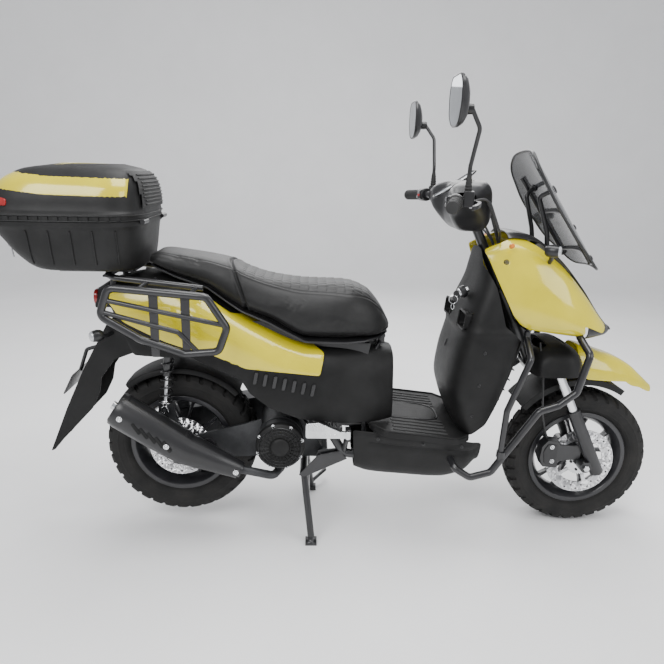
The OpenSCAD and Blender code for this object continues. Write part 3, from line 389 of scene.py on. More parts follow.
# A point of a form: place along it, share of the way round, and how far out from its surface
def formPoint(form, place, share, out=0.0):
    v, u, run = ringShare(form["power"])
    vv, uu = np.interp(share, run, v), np.interp(share, run, u)
    lo, hi, wide, narrow = np.moveaxis(smoothRows(form["rows"], place), -1, 0)
    edge = (lo + hi) / 2 + vv * ((hi - lo) / 2 + out)
    half = uu * (wide + (narrow - wide) * (vv + 1) / 2 + out)
    if form["along"] == "x":
        return np.stack([place, half, edge], -1)
    return np.stack([edge, half, place], -1)


# The share round the ring at a side-view point
def shareAt(form, x, z):
    place, edge = (x, z) if form["along"] == "x" else (z, x)
    lo, hi = np.moveaxis(smoothRows(form["rows"], place), -1, 0)[:2]
    v = np.clip((edge - (lo + hi) / 2) / ((hi - lo) / 2), -1, 1)
    vs, _, run = ringShare(form["power"])
    return np.interp(v, vs, run)


def densePath(outline, gap, loop=True):
    outline = [np.asarray(p, float) for p in outline]
    pairs = zip(outline, outline[1:] + outline[:1]) if loop else zip(outline, outline[1:])
    path = []
    for a, b in pairs:
        count = max(1, int(math.ceil(np.linalg.norm(b - a) / gap)))
        path += [a + (b - a) * i / count for i in range(count)]
    return path if loop else path + [outline[-1]]


def roundOutline(outline, bend, steps=4):
    outline = [np.asarray(p, float) for p in outline]
    path = []
    for i, b in enumerate(outline):
        a, c = outline[i - 1], outline[(i + 1) % len(outline)]
        trimA, trimC = (min(bend, 0.45 * np.linalg.norm(b - e)) for e in (a, c))
        p, q = b + unit(a - b) * trimA, b + unit(c - b) * trimC
        path += [p * (1 - t) ** 2 + b * 2 * t * (1 - t) + q * t * t for t in np.linspace(0, 1, steps + 1)]
    return path


def insideOutline(points, outline):
    x, y = points[:, 0], points[:, 1]
    inside = np.zeros(len(points), bool)
    for (ax, ay), (bx, by) in zip(outline, outline[1:] + outline[:1]):
        cross = (ay > y) != (by > y)
        with np.errstate(divide="ignore", invalid="ignore"):
            inside ^= cross & (x < (bx - ax) * (y - ay) / (by - ay) + ax)
    return inside


# A skin cut from a form by an outline in side view, with holes, and an offset function for creases and steps
def skin(form, outline, gap=9, bend=10, holes=(), creases=(), out=None):
    outline = densePath(roundOutline(outline, bend), gap)
    holes = [densePath(h, gap * 0.6) for h in holes]
    creases = [densePath(c, gap, False) for c in creases]
    stretch = 420  # a half ring is about this long

    def flat(points):
        points = np.asarray(points, float)
        share = shareAt(form, points[:, 0], points[:, 1])
        return np.stack([points[:, 0 if form["along"] == "x" else 1], share * stretch], -1)

    loops = [flat(outline)] + [flat(h) for h in holes]
    lines = [flat(c) for c in creases]
    low, high = loops[0].min(0), loops[0].max(0)
    across, up = np.meshgrid(np.arange(low[0] + gap / 2, high[0], gap),
        np.arange(low[1] + gap / 2, high[1], gap))
    across[::2] += gap / 2
    inner = np.stack([across.ravel(), up.ravel()], -1)
    inner = inner[insideOutline(inner, loops[0].tolist())]
    rim = np.concatenate(loops + lines)
    near = np.array([np.min(np.hypot(*(rim - p).T)) for p in inner]) if len(inner) else np.zeros(0)
    inner = inner[near > gap * 0.5]
    points, edges = [], []
    for loop in loops:
        base = len(points)
        points += loop.tolist()
        edges += [(base + i, base + (i + 1) % len(loop)) for i in range(len(loop))]
    for line in lines:
        base = len(points)
        points += line.tolist()
        edges += [(base + i, base + i + 1) for i in range(len(line) - 1)]
    points += inner.tolist()
    made, _, faces, *_ = delaunay_2d_cdt([Vector(p) for p in points], edges, [], 0, 1e-5)
    made = np.array([tuple(p) for p in made])
    faces = np.array([tuple(f) for f in faces])
    centre = made[faces].mean(1)
    keep = insideOutline(centre, loops[0].tolist())
    for hole in loops[1:]:
        keep &= ~insideOutline(centre, hole.tolist())
    place, share = made[:, 0], made[:, 1] / stretch
    solid = formPoint(form, place, share)
    if out is not None:
        solid = formPoint(form, place, share, out(solid[:, 0], solid[:, 2]))
    return solid, [tuple(f) for f in faces[keep].tolist()]


# A closed form of the whole ring, with smooth rows
def solidForm(form, gap=14, around=72, out=0.0, low=None, high=None):
    places = [r[0] for r in form["rows"]]
    low = places[0] if low is None else low
    high = places[-1] if high is None else high
    count = max(2, int((high - low) / gap) + 1)
    share = np.linspace(0, 1, around // 2 + 1)
    points = []
    for place in np.linspace(low, high, count):
        half = formPoint(form, np.full(len(share), place), share, out)
        points += list(half) + [p * (1, -1, 1) for p in half[-2:0:-1]]
    n = around
    faces = [(j * n + i, j * n + (i + 1) % n, (j + 1) * n + (i + 1) % n,
        (j + 1) * n + i) for j in range(count - 1) for i in range(n)]
    faces += [tuple(reversed(range(n))), tuple(range((count - 1) * n, count * n))]
    return points, faces


# Front body
shieldForm = dict(along="z", power=0.55, rows=[[330, 900, 985, 140, 140], [440, 850, 1010, 172, 160],
    [510, 834, 1025, 180, 165], [590, 842, 1045, 178, 165], [670, 860, 1060, 172, 160],
    [745, 878, 1055, 162, 156], [850, 915, 1045, 135, 140], [940, 925, 1030, 92, 100]])
noseForm = dict(along="x", power=0.55, rows=[[912, 868, 946, 118, 100], [1000, 700, 990, 165, 120],
    [1070, 676, 978, 184, 130], [1150, 668, 922, 186, 132], [1230, 664, 836, 166, 118],
    [1300, 676, 744, 130, 92], [1345, 680, 700, 70, 54]])
fenderForm = dict(along="x", power=0.55, rows=[[1266.2, 440, 637, 94, 62], [1300, 440, 630, 95, 64],
    [1350, 440, 612, 93, 60], [1400, 430, 594, 85, 52], [1450, 430, 566, 71, 44],
    [1500, 440, 524, 49, 30], [1538, 456, 490, 23, 14]])
crownForm = dict(along="x", power=0.55, rows=[[1096, 500, 584, 80, 56], [1120, 500, 620, 138, 124],
    [1160, 500, 640, 141, 129], [1205, 500, 640, 141, 129], [1240, 500, 628, 134, 116],
    [1266, 500, 606, 110, 80]])

nosePanel = {
    "outline": [(920, 938), (936, 947), (1010, 981), (1028, 981), (1073, 958), (1152, 902), (1203, 850),
                (1257, 783),
                (1320, 708), (1300, 690), (1227, 719), (1234, 692), (1219, 680), (1150, 688), (1065, 699),
                (1033, 717), (1009, 747), (972, 824), (942, 888)],
    "crease": [(950, 905), (1030, 872), (1150, 800), (1300, 706)],  # the fold that runs down the cheek
    "fold": 7,
    "screwHole": (979, 906, 8),
    "wall": 4,
}


def circleOutline(x, z, r, count=20):
    return [(x + r * math.cos(a), z + r * math.sin(a)) for a in np.arange(count) * 2 * math.pi / count]


# Pulls the skin in away from a folded line, which leaves a crisp ridge
def foldAt(line, depth, width):
    def out(x, z):
        best = np.full(np.shape(x), 1e9)
        for a, b in zip(line, line[1:]):
            a, b = np.asarray(a, float), np.asarray(b, float)
            t = np.clip(((x - a[0]) * (b - a)[0] + (z - a[1]) * (b - a)[1]) / ((b - a) @ (b - a)), 0, 1)
            best = np.minimum(best, np.hypot(x - a[0] - t * (b - a)[0], z - a[1] - t * (b - a)[1]))
        return -depth * np.clip(best / width, 0, 1)
    return out


p = nosePanel
cheek = skin(noseForm, p["outline"], 9, 8, [circleOutline(*p["screwHole"])], [p["crease"][1:-1]],
    foldAt(p["crease"], p["fold"], 90))
makePiece("front_side_panels", [(bothSides(cheek), "yellowGloss")], "chassis",
    ["front_panels"], bevel=1.3, thick=p["wall"], smooth=24)
print("front side panels done")

noseCowl = {"outline": [(985, 990), (1000, 960), (1010, 900), (1060, 860), (1180, 780), (1240, 724),
    (1300, 694), (1360, 690), (1360, 740), (1270, 880), (1100, 1000)], "halfWidth": 91.7, "wall": 4,
    "lampCentre": (1262, 785), "lampRadius": 62, "lampTilt": 52, }


# The cowl's strip between the yellow cheeks, run from one side over the top to the other
def noseStrip(form, width, low, high, gap=9):
    shares = np.linspace(0.5, 1, 60)
    places = np.arange(low, high + gap, gap)
    rows = []
    for place in places:
        half = formPoint(form, np.full(60, place), shares, -0.3)
        y = half[:, 1]
        t = np.interp(-np.linspace(width, 0, 17), -y, np.arange(60))
        x = np.full(17, place)
        z = np.interp(t, np.arange(60), half[:, 2])
        y = np.interp(t, np.arange(60), y)
        left = np.stack([x, y, z], -1)
        rows.append(np.concatenate([left, (left * (1, -1, 1))[-2::-1]]))
    n = len(rows[0])
    faces = [(j * n + i, j * n + i + 1, (j + 1) * n + i + 1,
        (j + 1) * n + i) for j in range(len(rows) - 1) for i in range(n - 1)]
    return np.concatenate(rows), faces


def keepFaces(shape, test):
    points, faces = np.asarray(shape[0], float), shape[1]
    return points, [f for f in faces if test(points[list(f)].mean(0))]


p = noseCowl
lampAxis = np.array([math.sin(math.radians(p["lampTilt"])), 0, math.cos(math.radians(p["lampTilt"]))])
lampAt = np.array([p["lampCentre"][0], 0, p["lampCentre"][1]])


def clearOfLamp(c):
    d = c - lampAt
    return np.linalg.norm(d - lampAxis * (d @ lampAxis)) > p["lampRadius"] - 1


strip = keepFaces(noseStrip(noseForm, p["halfWidth"], 990, 1343), clearOfLamp)
chin = skin(noseForm, [(1240, 676), (1345, 690), (1345, 700), (1318, 706), (1296, 692), (1240, 716)], 8,
    3, out=None)
lampRing = lathe([(56, -34), (67, -34), (67, 3), (63, 6), (58, 3)], lampAt, lampAxis, 64, closed=True)
makePiece("nose_cowl_skin", [(strip, "blackSatin"), (bothSides(chin), "blackSatin"),
    (lampRing, "blackSatin")], "chassis", bevel=0.8, thick=3)

# Stalks, brackets and frame of the windshield
shield = {"low": (1286, 0, 885), "high": (1052, 0, 1222), "radius": 260, "thick": 4,
    "outline": [(0, -88), (0, 88), (-120, 138), (-260, 146), (-370, 128), (-405, 90), (-410, 40),
    (-410, -40), (-405, -90), (-370, -128), (-260, -146), (-120, -138)], }
shieldUp = unit(np.subtract(shield["high"], shield["low"]))
shieldBack = np.array([-shieldUp[2], 0, shieldUp[0]])


# A point on the screen: how far up it, how far across it, and how far out from its face
def onShield(up, across, out=0.0):
    turn = math.asin(max(-1, min(1, across / shield["radius"])))
    r = shield["radius"] + out
    return (np.asarray(shield["low"]) + shieldUp * up + shieldBack
        * (shield["radius"] - r * math.cos(turn)) + np.array([0, r * math.sin(turn), 0]))


def shieldSkin(outline, gap, out):
    loop = densePath(roundOutline([(b, -a) for a, b in outline], 34, 8), gap)
    low, high = np.min(loop, 0), np.max(loop, 0)
    grid = [(x, z) for x in np.arange(low[0], high[0], gap) for z in np.arange(low[1], high[1], gap)]
    grid = np.array(grid)[insideOutline(np.array(grid), [tuple(q) for q in loop])]
    far = np.array([np.min(np.hypot(*(np.array(loop) - q).T)) for q in grid]) > gap * 0.5
    points = [Vector(q) for q in loop] + [Vector(q) for q in grid[far]]
    edges = [(i, (i + 1) % len(loop)) for i in range(len(loop))]
    made, _, faces, *_ = delaunay_2d_cdt(points, edges, [], 0, 1e-5)
    made = np.array([tuple(q) for q in made])
    faces = np.array([tuple(f) for f in faces])
    keep = insideOutline(made[faces].mean(1), [tuple(q) for q in loop])
    return [onShield(z, x, out) for x, z in made], [tuple(f) for f in faces[keep].tolist()]


screen = shieldSkin(shield["outline"], 12, 0)
makePiece("windshield_screen", [(screen, "smokeScreen")], "chassis", ["windshield"],
    bevel=1, thick=4)
rim = [onShield(z, x, -1.5) for x, z in densePath(roundOutline([(b, -a) for a, b in shield["outline"]],
    34, 8), 10)]
stays = []
for side in (1, -1):
    foot = [(1128, side * 60, 880), (1112, side * 64, 990), onShield(285, side * 66, -45),
        onShield(285, side * 78, -7)]
    stays.append(sweep(roundPath(foot, 14), 7, 20))
    boss = unit(onShield(285, side * 78, 0) - onShield(285, side * 78, -10))
    stays.append(lathe([(0, -9), (11, -9), (11, -4.2), (0, -4.2)], onShield(285, side * 78), boss, 28))
    stays.append(lathe([(0, 0.3), (13, 0.3), (13, 2.5), (9, 5), (0, 6)], onShield(285, side * 78), boss,
        28))
    for up in (40, 150):
        stays.append(lathe([(0, 0.3), (9, 0.3), (9, 2), (6, 4), (0, 5)], onShield(up, side * 62),
            unit(onShield(up, side * 62, 5) - onShield(up, side * 62)), 24))
bars = [sweep([onShield(u, x, -8) for x in np.linspace(-104, 104, 15)], 5, 12) for u in (60, 200)]
posts = [sweep([onShield(u, s * 100, -8) for u in np.linspace(40, 330, 12)], 6, 12) for s in (1, -1)]
makePiece("windshield_frame", [(sweep(rim, 4.2, 10, loop=True), "blackSatin"), (stays, "blackSatin"),
    (bars, "blackPaint"), (posts, "blackPaint")], "chassis", ["nose_cowl"], smooth=40)
lens = lathe([(0, 15), (24, 14), (44, 10), (55, 5), (58, 1), (58, -3), (0, -3)], lampAt, lampAxis, 64)
bowl = lathe([(12, -30), (34, -22), (50, -8), (56, -3), (54, -3), (48, -9), (32, -24), (10, -32)], lampAt,
    lampAxis, 64, closed=True)
bulb = lathe([(0, -30), (7, -30), (9, -20), (7, -12), (0, -9)], lampAt, lampAxis, 24)
makePiece("headlight_lens", [(lens, "clearLens"), (bowl, "chrome"), (bulb, "clearLens")], "chassis",
    ["headlight"], smooth=40)
print("nose, windshield and headlight done")

legShield = {"outline": [(833, 377), (905, 367.3), (914, 371), (950, 405), (1015, 560), (1046, 668),
    (985, 720), (955, 830), (925, 890), (925, 944), (905, 944), (884, 860), (862, 745), (845, 620),
    (838, 500)], "wall": 4, }
p = legShield
rearEdge = [(820, 377), (905, 367.3), (914, 371), (950, 405), (1015, 560), (1046, 668), (985, 720),
    (955, 830), (925, 890), (925, 939), (820, 939)]


# Grooves and ledges pressed into the panel that the rider's knees face
def shieldRelief(x, z):
    ledge = 5 / (1 + np.exp(-(z - 704) / 3)) - 5 / (1 + np.exp(-(z - 690) / 3))
    return -ledge


wall = skin(shieldForm, rearEdge, 10, 6, out=shieldRelief)


def pocketHole(c):
    return not (c[0] < 925 and 52 < abs(c[1]) < 130 and 700 < c[2] < 750)


wall = keepFaces(wall, pocketHole)
pockets = []
for side in (1, -1):
    box = [(side * 52, 700), (side * 130, 700), (side * 130, 750), (side * 52, 750)]
    loop = densePath(roundOutline(box, 10), 8)
    back, front = [], []
    for y, z in loop:
        back.append((872 + (z - 700) * 0.12 - 3, y, z))
        front.append((930, side * 91 + (y - side * 91) * 0.86, 724 + (z - 724) * 0.8))
    n = len(loop)
    pockets.append((back + front, [(i, (i + 1) % n, (i + 1) % n + n,
        i + n) for i in range(n)] + [tuple(range(n, 2 * n))]))
    pockets.append(sweep([np.asarray(q) - (1.5, 0, 0) for q in back], 3.2, 10, loop=True))
lockFrom, lockTo = np.array([884, -48, 804.0]), np.array([936, -48, 830.0])
lockAxis = unit(lockTo - lockFrom)
lockRing = lathe([(10, -14), (17, -14), (19, -11), (19, -2), (17, 4), (10, 4)], lockFrom, lockAxis, 40,
    closed=True)
collar = lathe([(8.2, -20), (13, -20), (15, -17), (15, -13), (8.2, -13)], lockFrom, lockAxis, 36,
    closed=True)
hook = sweep(roundPath([(872, 0, 640), (852, 0, 636), (846, 0, 616), (856, 0, 606), (862, 0, 612)], 8),
    3.4, 12)
makePiece("leg_shield_wall", [(bothSides(wall), "blackMatte"), (pockets, "blackMatte"),
    (lockRing, "blackSatin"), (collar, "brightAlloy"), (hook, "blackSatin")], "chassis",
    bevel=0.9, thick=0, smooth=30)

apronLine = [(914, 371), (950, 405), (1015, 560), (1046, 668)]
louvreRows, louvreStep = 6, 32
ribs = []
for side in (1, -1):
    for i in range(louvreRows):
        z = 455 + louvreStep * i
        x = np.interp(z, [q[1] for q in apronLine], [q[0] for q in apronLine])
        ribs.append(slab([(x - 3, z), (x + 9, z - 7), (x + 10, z - 3), (x - 2, z + 5)],
            *sorted((side * 34, side * 142))))
panel = slab([(909, 372), (914, 371), (950, 405), (1015, 560), (1046, 668), (1041, 670), (1010, 562),
    (946, 409)], -147, 147)
makePiece("inner_apron_wall", [(panel, "blackMatte"), (ribs, "blackMatte")], "chassis",
    ["leg_shield"], bevel=1.2)
print("leg shield done")

# The lock's own key, with a ring and fob hanging from it
def ringShape(centre, normal, radius, wire, sides=8, count=28):
    u, w = crossAxes(normal)
    path = [np.asarray(centre) + (u * math.cos(a) + w * math.sin(a)) * radius
        for a in np.arange(count) * 2 * math.pi / count]
    return sweep(path, wire, sides, loop=True)


keyOut = -lockAxis
keySide = np.array([0, 1, 0])
keyBlade = lathe([(0, 0), (7.8, 0), (7.8, 10), (6.8, 12), (0, 12)], lockFrom - keyOut * 12, keyOut, 32)
bow1 = slab([(c[0] * 11, c[1] * 13) for c in circleOutline(0, 0, 1, 28)], -1.6, 1.6, "xy")
u, w = keySide, np.cross(keyOut, keySide)
grip = [lockFrom + keyOut * (26 + q[0]) + w * q[1] + u * q[2] for q in bow1[0]]
stem = [lockFrom + keyOut * q for q in (-6, 18)]
makePiece("lock_key", [(keyBlade, "brightAlloy"), (sweep(stem, 3.2, 10), "brightAlloy"),
    ((grip, bow1[1]), "blackSatin"), (ringShape(lockFrom + keyOut * 37 - (0, 0, 11), (0.2, 1, 0), 13,
    1.1), "chrome"), (ringShape(lockFrom + keyOut * 38 - (0, 0, 33), (1, 0.3, 0), 9, 1.0), "chrome")],
    "key", ["ignition_key"], smooth=40)

# Floor
floorBoard = {
    "hatch": (735, 0, 92, 62),      # middle and half sizes of the lid under the feet
    "strips": (64, 88, 112, 136, 160), "stripFrom": 668, "stripTo": 838,
}


def floorTop(x):
    return 397.5 - 30.8 * (x - 640) / 265


p = floorBoard
tray = [(596, -150), (640, -196), (860, -196), (910, -150), (910, 150), (860, 196), (640, 196),
    (596, 150)]
tray = roundOutline(tray, 16)
boardPoints, boardFaces = slab(tray, 0, 1, "xy")
boardPoints = [(q[0], q[1], floorTop(q[0]) - 16 * (1 - q[2])) for q in boardPoints]
treads = []
for y in p["strips"]:
    for side in (1, -1):
        bar = slab(roundOutline([(p["stripFrom"], side * y - 7), (p["stripTo"], side * y - 7),
            (p["stripTo"], side * y + 7), (p["stripFrom"], side * y + 7)], 6), 0, 2.4, "xy")
        treads.append(([(q[0], q[1], floorTop(q[0]) + q[2] - 0.4) for q in bar[0]], bar[1]))
hx, hy, ha, hb = p["hatch"]
hatch = slab([(hx + ha * math.cos(a) * abs(math.cos(a)) ** -0.4,
    hy + hb * math.sin(a) * abs(math.sin(a)) ** -0.4) for a in (np.arange(48) + 0.5) * 2 * math.pi / 48],
    0, 2.6, "xy")
hatch = ([(q[0], q[1], floorTop(q[0]) + q[2] - 0.4) for q in hatch[0]], hatch[1])
hatchRim = sweep([(hx + (ha + 5) * math.cos(a) * abs(math.cos(a)) ** -0.4,
    hy + (hb + 5) * math.sin(a) * abs(math.sin(a)) ** -0.4,
    floorTop(hx + ha * math.cos(a)) + 0.6) for a in (np.arange(48) + 0.5) * 2 * math.pi / 48], 2.4, 8,
    loop=True)
lip = [sweep(roundPath([(606, s * 152, floorTop(606) + 1), (644, s * 190, floorTop(644) + 1),
    (856, s * 190, floorTop(856) + 1), (902, s * 150, floorTop(902) + 1)], 20), 4, 12) for s in (1, -1)]
makePiece("floorboard_tray", [((boardPoints, boardFaces), "blackMatte"), (treads, "gripRubber"),
    (hatch, "blackMatte"), (hatchRim, "blackSatin"), (lip, "blackMatte")], "chassis",
    ["floorboard"], bevel=1.2)

bellyForm = dict(along="x", power=0.55, rows=[[552, 222, 420, 118, 172], [600, 208, 420, 128, 184],
    [700, 199, 420, 134, 190], [830, 188, 420, 130, 188], [900, 206, 420, 130, 184],
    [946, 246, 420, 112, 164]])
bellySide = [(544, 384), (556, 215), (700, 194), (830, 184), (900, 200), (952, 246), (952, 334),
    (905, 350.5), (640, 381.3), (600, 383.8)]
bellyPan = {"groove": [(600, 350), (760, 330), (925, 312)], "depth": 6, "width": 16}
p = bellyPan


def bellyGroove(x, z):
    line = foldAt(p["groove"], 1, p["width"])(x, z)
    return -p["depth"] * (1 + line)


pan = skin(bellyForm, bellySide, 9, 8, creases=[p["groove"]], out=bellyGroove)
makePiece("belly_pan_skin", [(bothSides(pan), "blackMatte"),
    ([s for y in (1, -1) for x in (620, 760, 880) for s in [screw((x, y * (181 - abs(x - 720) * 0.03),
    366 - (x - 620) * 0.1), (0, y, 0), 6)]], "blackSatin")], "chassis", ["belly_pan"],
    bevel=1, thick=3.5)
print("floor done")

# Rear body
cowlForm = dict(along="x", power=0.55, rows=[[-238, 700, 800, 62, 56], [-180, 600, 834, 108, 92],
    [-60, 500, 856, 152, 118], [100, 480, 802, 172, 142], [250, 380, 718, 184, 152],
    [400, 330, 654, 188, 158], [500, 320, 648, 182, 150], [590, 330, 640, 158, 120],
    [672, 360, 620, 112, 84]])
cowlSide = [(-240, 735), (-181, 752), (-113, 608), (64, 612), (205, 552), (234, 505), (293, 457),
    (382, 425), (504, 409), (560, 404), (600, 400.3), (640, 397.8), (671, 397), (671, 640), (640, 655),
    (400, 698), (100, 860), (-100, 872), (-236, 812)]
rearPanel = {"outline": [(-206, 780), (-198, 806), (-180, 817), (-91, 811), (94, 799), (173, 746),
    (270, 722), (381, 669), (454, 626), (441, 563), (352, 572), (222, 583), (135, 601), (64, 625),
    (-47, 669), (-143, 709), (-180, 758)], "crease": [(-190, 786), (-60, 742), (120, 690), (300, 640),
    (440, 600)], "fold": 9, "foldWidth": 70, "proud": 2.2, "wall": 3,
    "vents": dict(count=7, start=(250, 556), end=(420, 520), size=(11, 24)), }
p = rearPanel
side = skin(cowlForm, p["outline"], 9, 9, creases=[p["crease"][1:-1]], out=lambda x,
    z: foldAt(p["crease"], p["fold"], p["foldWidth"])(x, z) + p["proud"])
makePiece("rear_side_panels", [(bothSides(side), "yellowGloss"),
    ([screw((440 - 6, s * 151, 586), (0.25, s, 0), 6) for s in (1, -1)], "blackSatin")], "chassis",
    ["side_panels"], bevel=1.3, thick=p["wall"], smooth=24)
cowl = skin(cowlForm, cowlSide, 11, 8, out=lambda x, z: foldAt([(-120, 640), (120, 590), (300, 505),
    (620, 470)], 5, 50)(x, z) - 3)
vents = []
v = p["vents"]
for i in range(v["count"]):
    x, z = np.asarray(v["start"]) + (np.asarray(v["end"]) - v["start"]) * i / (v["count"] - 1)
    share = shareAt(cowlForm, np.array([x]), np.array([z]))
    at = formPoint(cowlForm, np.array([x]), share, -1)[0]
    for y in (1, -1):
        leaf = slab(roundOutline([(x - 8, z - 18), (x + 2, z - 18), (x + 9, z + 18), (x - 1, z + 18)], 4),
            *sorted((y * (at[1] - 4), y * (at[1] + 3))))
        vents.append(leaf)
makePiece("seat_cowl_skin", [(bothSides(cowl), "blackMatte"), (vents, "blackSatin")], "chassis",
    ["seat_cowl"], bevel=0.9, thick=3)
print("rear body done")

# Tail
tail = {"back": [(-200, 700), (-225, 653), (-254, 604), (-291, 537), (-349, 416), (-411, 271)],
    "front": [(-399, 275), (-369, 311), (-269, 417), (-243, 469), (-233, 520), (-190, 578), (-120, 605),
    (-120, 640), (-160, 712)], "halfWidth": 68, "wall": 4, }
p = tail
outer = roundPath([(x, 0, z) for x, z in p["back"]], 30)
spine = [(q[0], q[2]) for q in outer]


def tailWall(inset, y0, y1):
    line = [(x + inset, z - inset * 0.2) for x, z in spine]
    return slab(line + [(x + inset + 4, z) for x, z in reversed(spine)], y0, y1)


cheeks = [slab(roundOutline(spine + p["front"], 4, 2), *sorted((s * 64.5, s * 68))) for s in (1, -1)]
ribsBack = []
for y in (-44, -22, 0, 22, 44):
    ribsBack.append(sweep([(q[0] - 1.5, y, q[1]) for q in spine[2:-3]], 3, 8))
plateArm = sweep(roundPath([(-262, 0, 600), (-296, 0, 590), (-322, 0, 520)], 14), 6, 12)
plateFlat = seated(slab(roundOutline([(-84, -36), (84, -36), (84, 36), (-84, 36)], 10), -1.5, 1.5, "xy"),
    (-332, 0, 500), (-0.88, 0, 0.46), 0)
reflector = seated(lathe([(0, 4), (20, 4), (23, 2), (23, -2), (0, -2)], (0, 0, 0), (0, 0, 1), 40),
    (-352, 0, 404), (-0.9, 0, 0.42))
makePiece("tail_fender_skin", [(tailWall(0, -66, 66), "blackMatte"), (cheeks, "blackMatte"),
    (ribsBack, "blackMatte"), (plateArm, "blackPaint"), (plateFlat, "blackSatin"), (reflector, "redLens"),
    (brick((-156, -40, 600), (-144, 40, 740)), "blackMatte"),
    (brick((-172, -64.5, 688), (-142, 64.5, 697)), "blackMatte")], "chassis",
    ["tail_fender"], bevel=1)
lampBody = slab(roundOutline([(-52, 748), (52, 748), (56, 772), (46, 792), (-46, 792), (-56, 772)], 12),
    -244, -232, "yz")
makePiece("tail_lamp_lens", [(([(q[0] + 2, q[1], q[2]) for q in lampBody[0]], lampBody[1]), "redLens")],
    "chassis", ["tail_lamp"], bevel=3, segments=3)


# An indicator on its stalk: an oval pod with a lens at its outer face
def indicator(foot, knee, pod, length, facing):
    shapes = [(sweep(roundPath([foot, knee, pod], 12), 6.5, 16), "blackSatin")]
    body = [(0, -length / 2), (12, -length / 2 + 1), (17, -length / 2 + 8), (18.5, 0),
        (16.5, length / 2 - 6), (15, length / 2 - 3)]
    glass = [(15, length / 2 - 3), (14.5, length / 2), (11, length / 2 + 3), (0, length / 2 + 4)]
    shapes.append((lathe(body, pod, facing, 36), "blackSatin"))
    shapes.append((lathe(glass, pod, facing, 36), "signalLens"))
    return shapes


signals = []
for s in (1, -1):
    signals += indicator((-190, s * 66, 664), (-196, s * 100, 664), (-214, s * 127, 671), 36,
        (-0.8, s * 0.6, 0))
    signals += indicator((1108, s * 104, 890), (1104, s * 140, 918), (1098, s * 158, 944), 42,
        (0.85, s * 0.52, 0))
makePiece("indicator_pods", signals, "chassis", ["turn_signals"], smooth=40)
print("tail and indicators done")

# Racks and guards
guardFinish = {"tube": "blackPaint", "radius": 11}
loopPath = [(-6.5, 230, 824.5), (-138, 230, 836), (-166, 230, 757), (-60, 230, 692), (60, 230, 650),
    (155, 230, 658), (180, 230, 727), (125, 230, 813), (-6.5, 230, 824.5)]
sideGuards = []
for shape in [sweep(roundPath(loopPath, 24)[:-1], guardFinish["radius"], 22, loop=True),
              sweep([(-148, 230, 801.4), (168, 230, 734.6)], 7, 16),
              sweep(roundPath([(-157, 230, 767.7), (45, 230, 713), (95, 230, 658.5)], 18), 7, 16),
              sweep([(-60, 228, 831), (-60, 134, 831)], 7, 16), sweep([(80, 228, 818), (80, 134, 818)], 7,
                                                                      16)]:
    sideGuards += bothSides(shape)
tabs = [slab(roundOutline([(x - 11, 640), (x + 11, 640), (x + 14, z), (x - 12, z)], 5),
    *sorted((s * 226, s * 230))) for s in (1, -1) for x, z in ((-20, 828), (66, 820))]
makePiece("side_guard_tubes", [(sideGuards, "blackPaint"), (tabs, "blackPaint")], "chassis",
    ["side_guards"], bevel=0.8, smooth=40)
frontPath = [(1222, 128, 706.9), (1222, 128, 686), (1232, 196, 646), (1204, 200, 530), (1152, 200, 488),
    (1098, 200, 470), (968, 200, 268), (905, 200, 250), (860, 190, 275), (850, 145, 296),
    (850, 134.2, 296)]
bracePath = [(1066, 120, 695.9), (1066, 120, 676), (1058, 196, 632), (1000, 200, 470), (992, 200, 305.3)]
frontGuards = bothSides(sweep(roundPath(frontPath, 22), 11,
    22)) + bothSides(sweep(roundPath(bracePath, 18), 9.5, 20))
clampTabs = [seated(lathe([(11.2, -9), (14, -9), (14, 9), (11.2, 9)], (0, 0, 0), (0, 0, 1), 28,
    closed=True), (995, s * 200, 330), (0.05, 0, 1)) for s in (1, -1)]
makePiece("front_guard_tubes", [(frontGuards, "blackPaint"), (clampTabs, "blackPaint")], "chassis",
    ["front_guards"], smooth=40)
rackTube = sweep(roundPath([(100, 130, 818), (-150, 130, 845), (-176, 110, 850), (-176, 0, 850)], 16), 9,
    20)
rackPlate = slab(roundOutline([(-330, -75), (-110, -75), (-110, 75), (-330, 75)], 14), 852, 860, "xy")
makePiece("rear_rack_tubes", [(bothSides(rackTube), "blackPaint"), (rackPlate, "blackPaint"),
    ([screw((x, y, 859), (0, 0, 1), 8) for x in (-300, -140) for y in (-58, 58)], "brightAlloy"),
    (brick((-184, -128, 846), (-168, 128, 852)), "blackPaint")], "chassis", ["rear_rack"],
    bevel=1)
dress("frame", "blackPaint", 0)
dress("storage_tub", "blackSatin", 1)
dress("fuel_tank", "blackPaint", 2)
print("racks and guards done")

# Top box
tubForm = dict(along="z", power=0.5, rows=[[860, -300, -110, 120, 120], [872, -372, -84, 172, 172],
    [900, -412, -78, 186, 188], [985, -488, -66, 204, 206], [996, -506, -64, 210, 212],
    [1006, -506, -64, 210, 212]])
lidForm = dict(along="z", power=0.5, rows=[[1006.5, -508, -62, 212, 213], [1026, -504, -60, 210, 211],
    [1034, -490, -60, 198, 200], [1072, -478, -62, 188, 190], [1100, -464, -66, 176, 178],
    [1142, -400, -92, 140, 142], [1158, -300, -150, 84, 84]])
topBox = {"ribs": 5, "ribFrom": (-100, 900), "ribTo": (-410, 900),
    "panel": [(-470, 1074), (-384, 1042), (-330, 1039), (-117, 1037), (-92, 1052), (-92, 1157),
    (-300, 1159), (-470, 1159)], "pad": [(-88, 1040), (-88, 1140), (-30, 1140), (-30, 1040)],
    "lamp": [(-520, 1046), (-400, 1046), (-400, 1064), (-520, 1088)], "wall": 3, }
p = topBox
around = np.linspace(0, 1, 61)


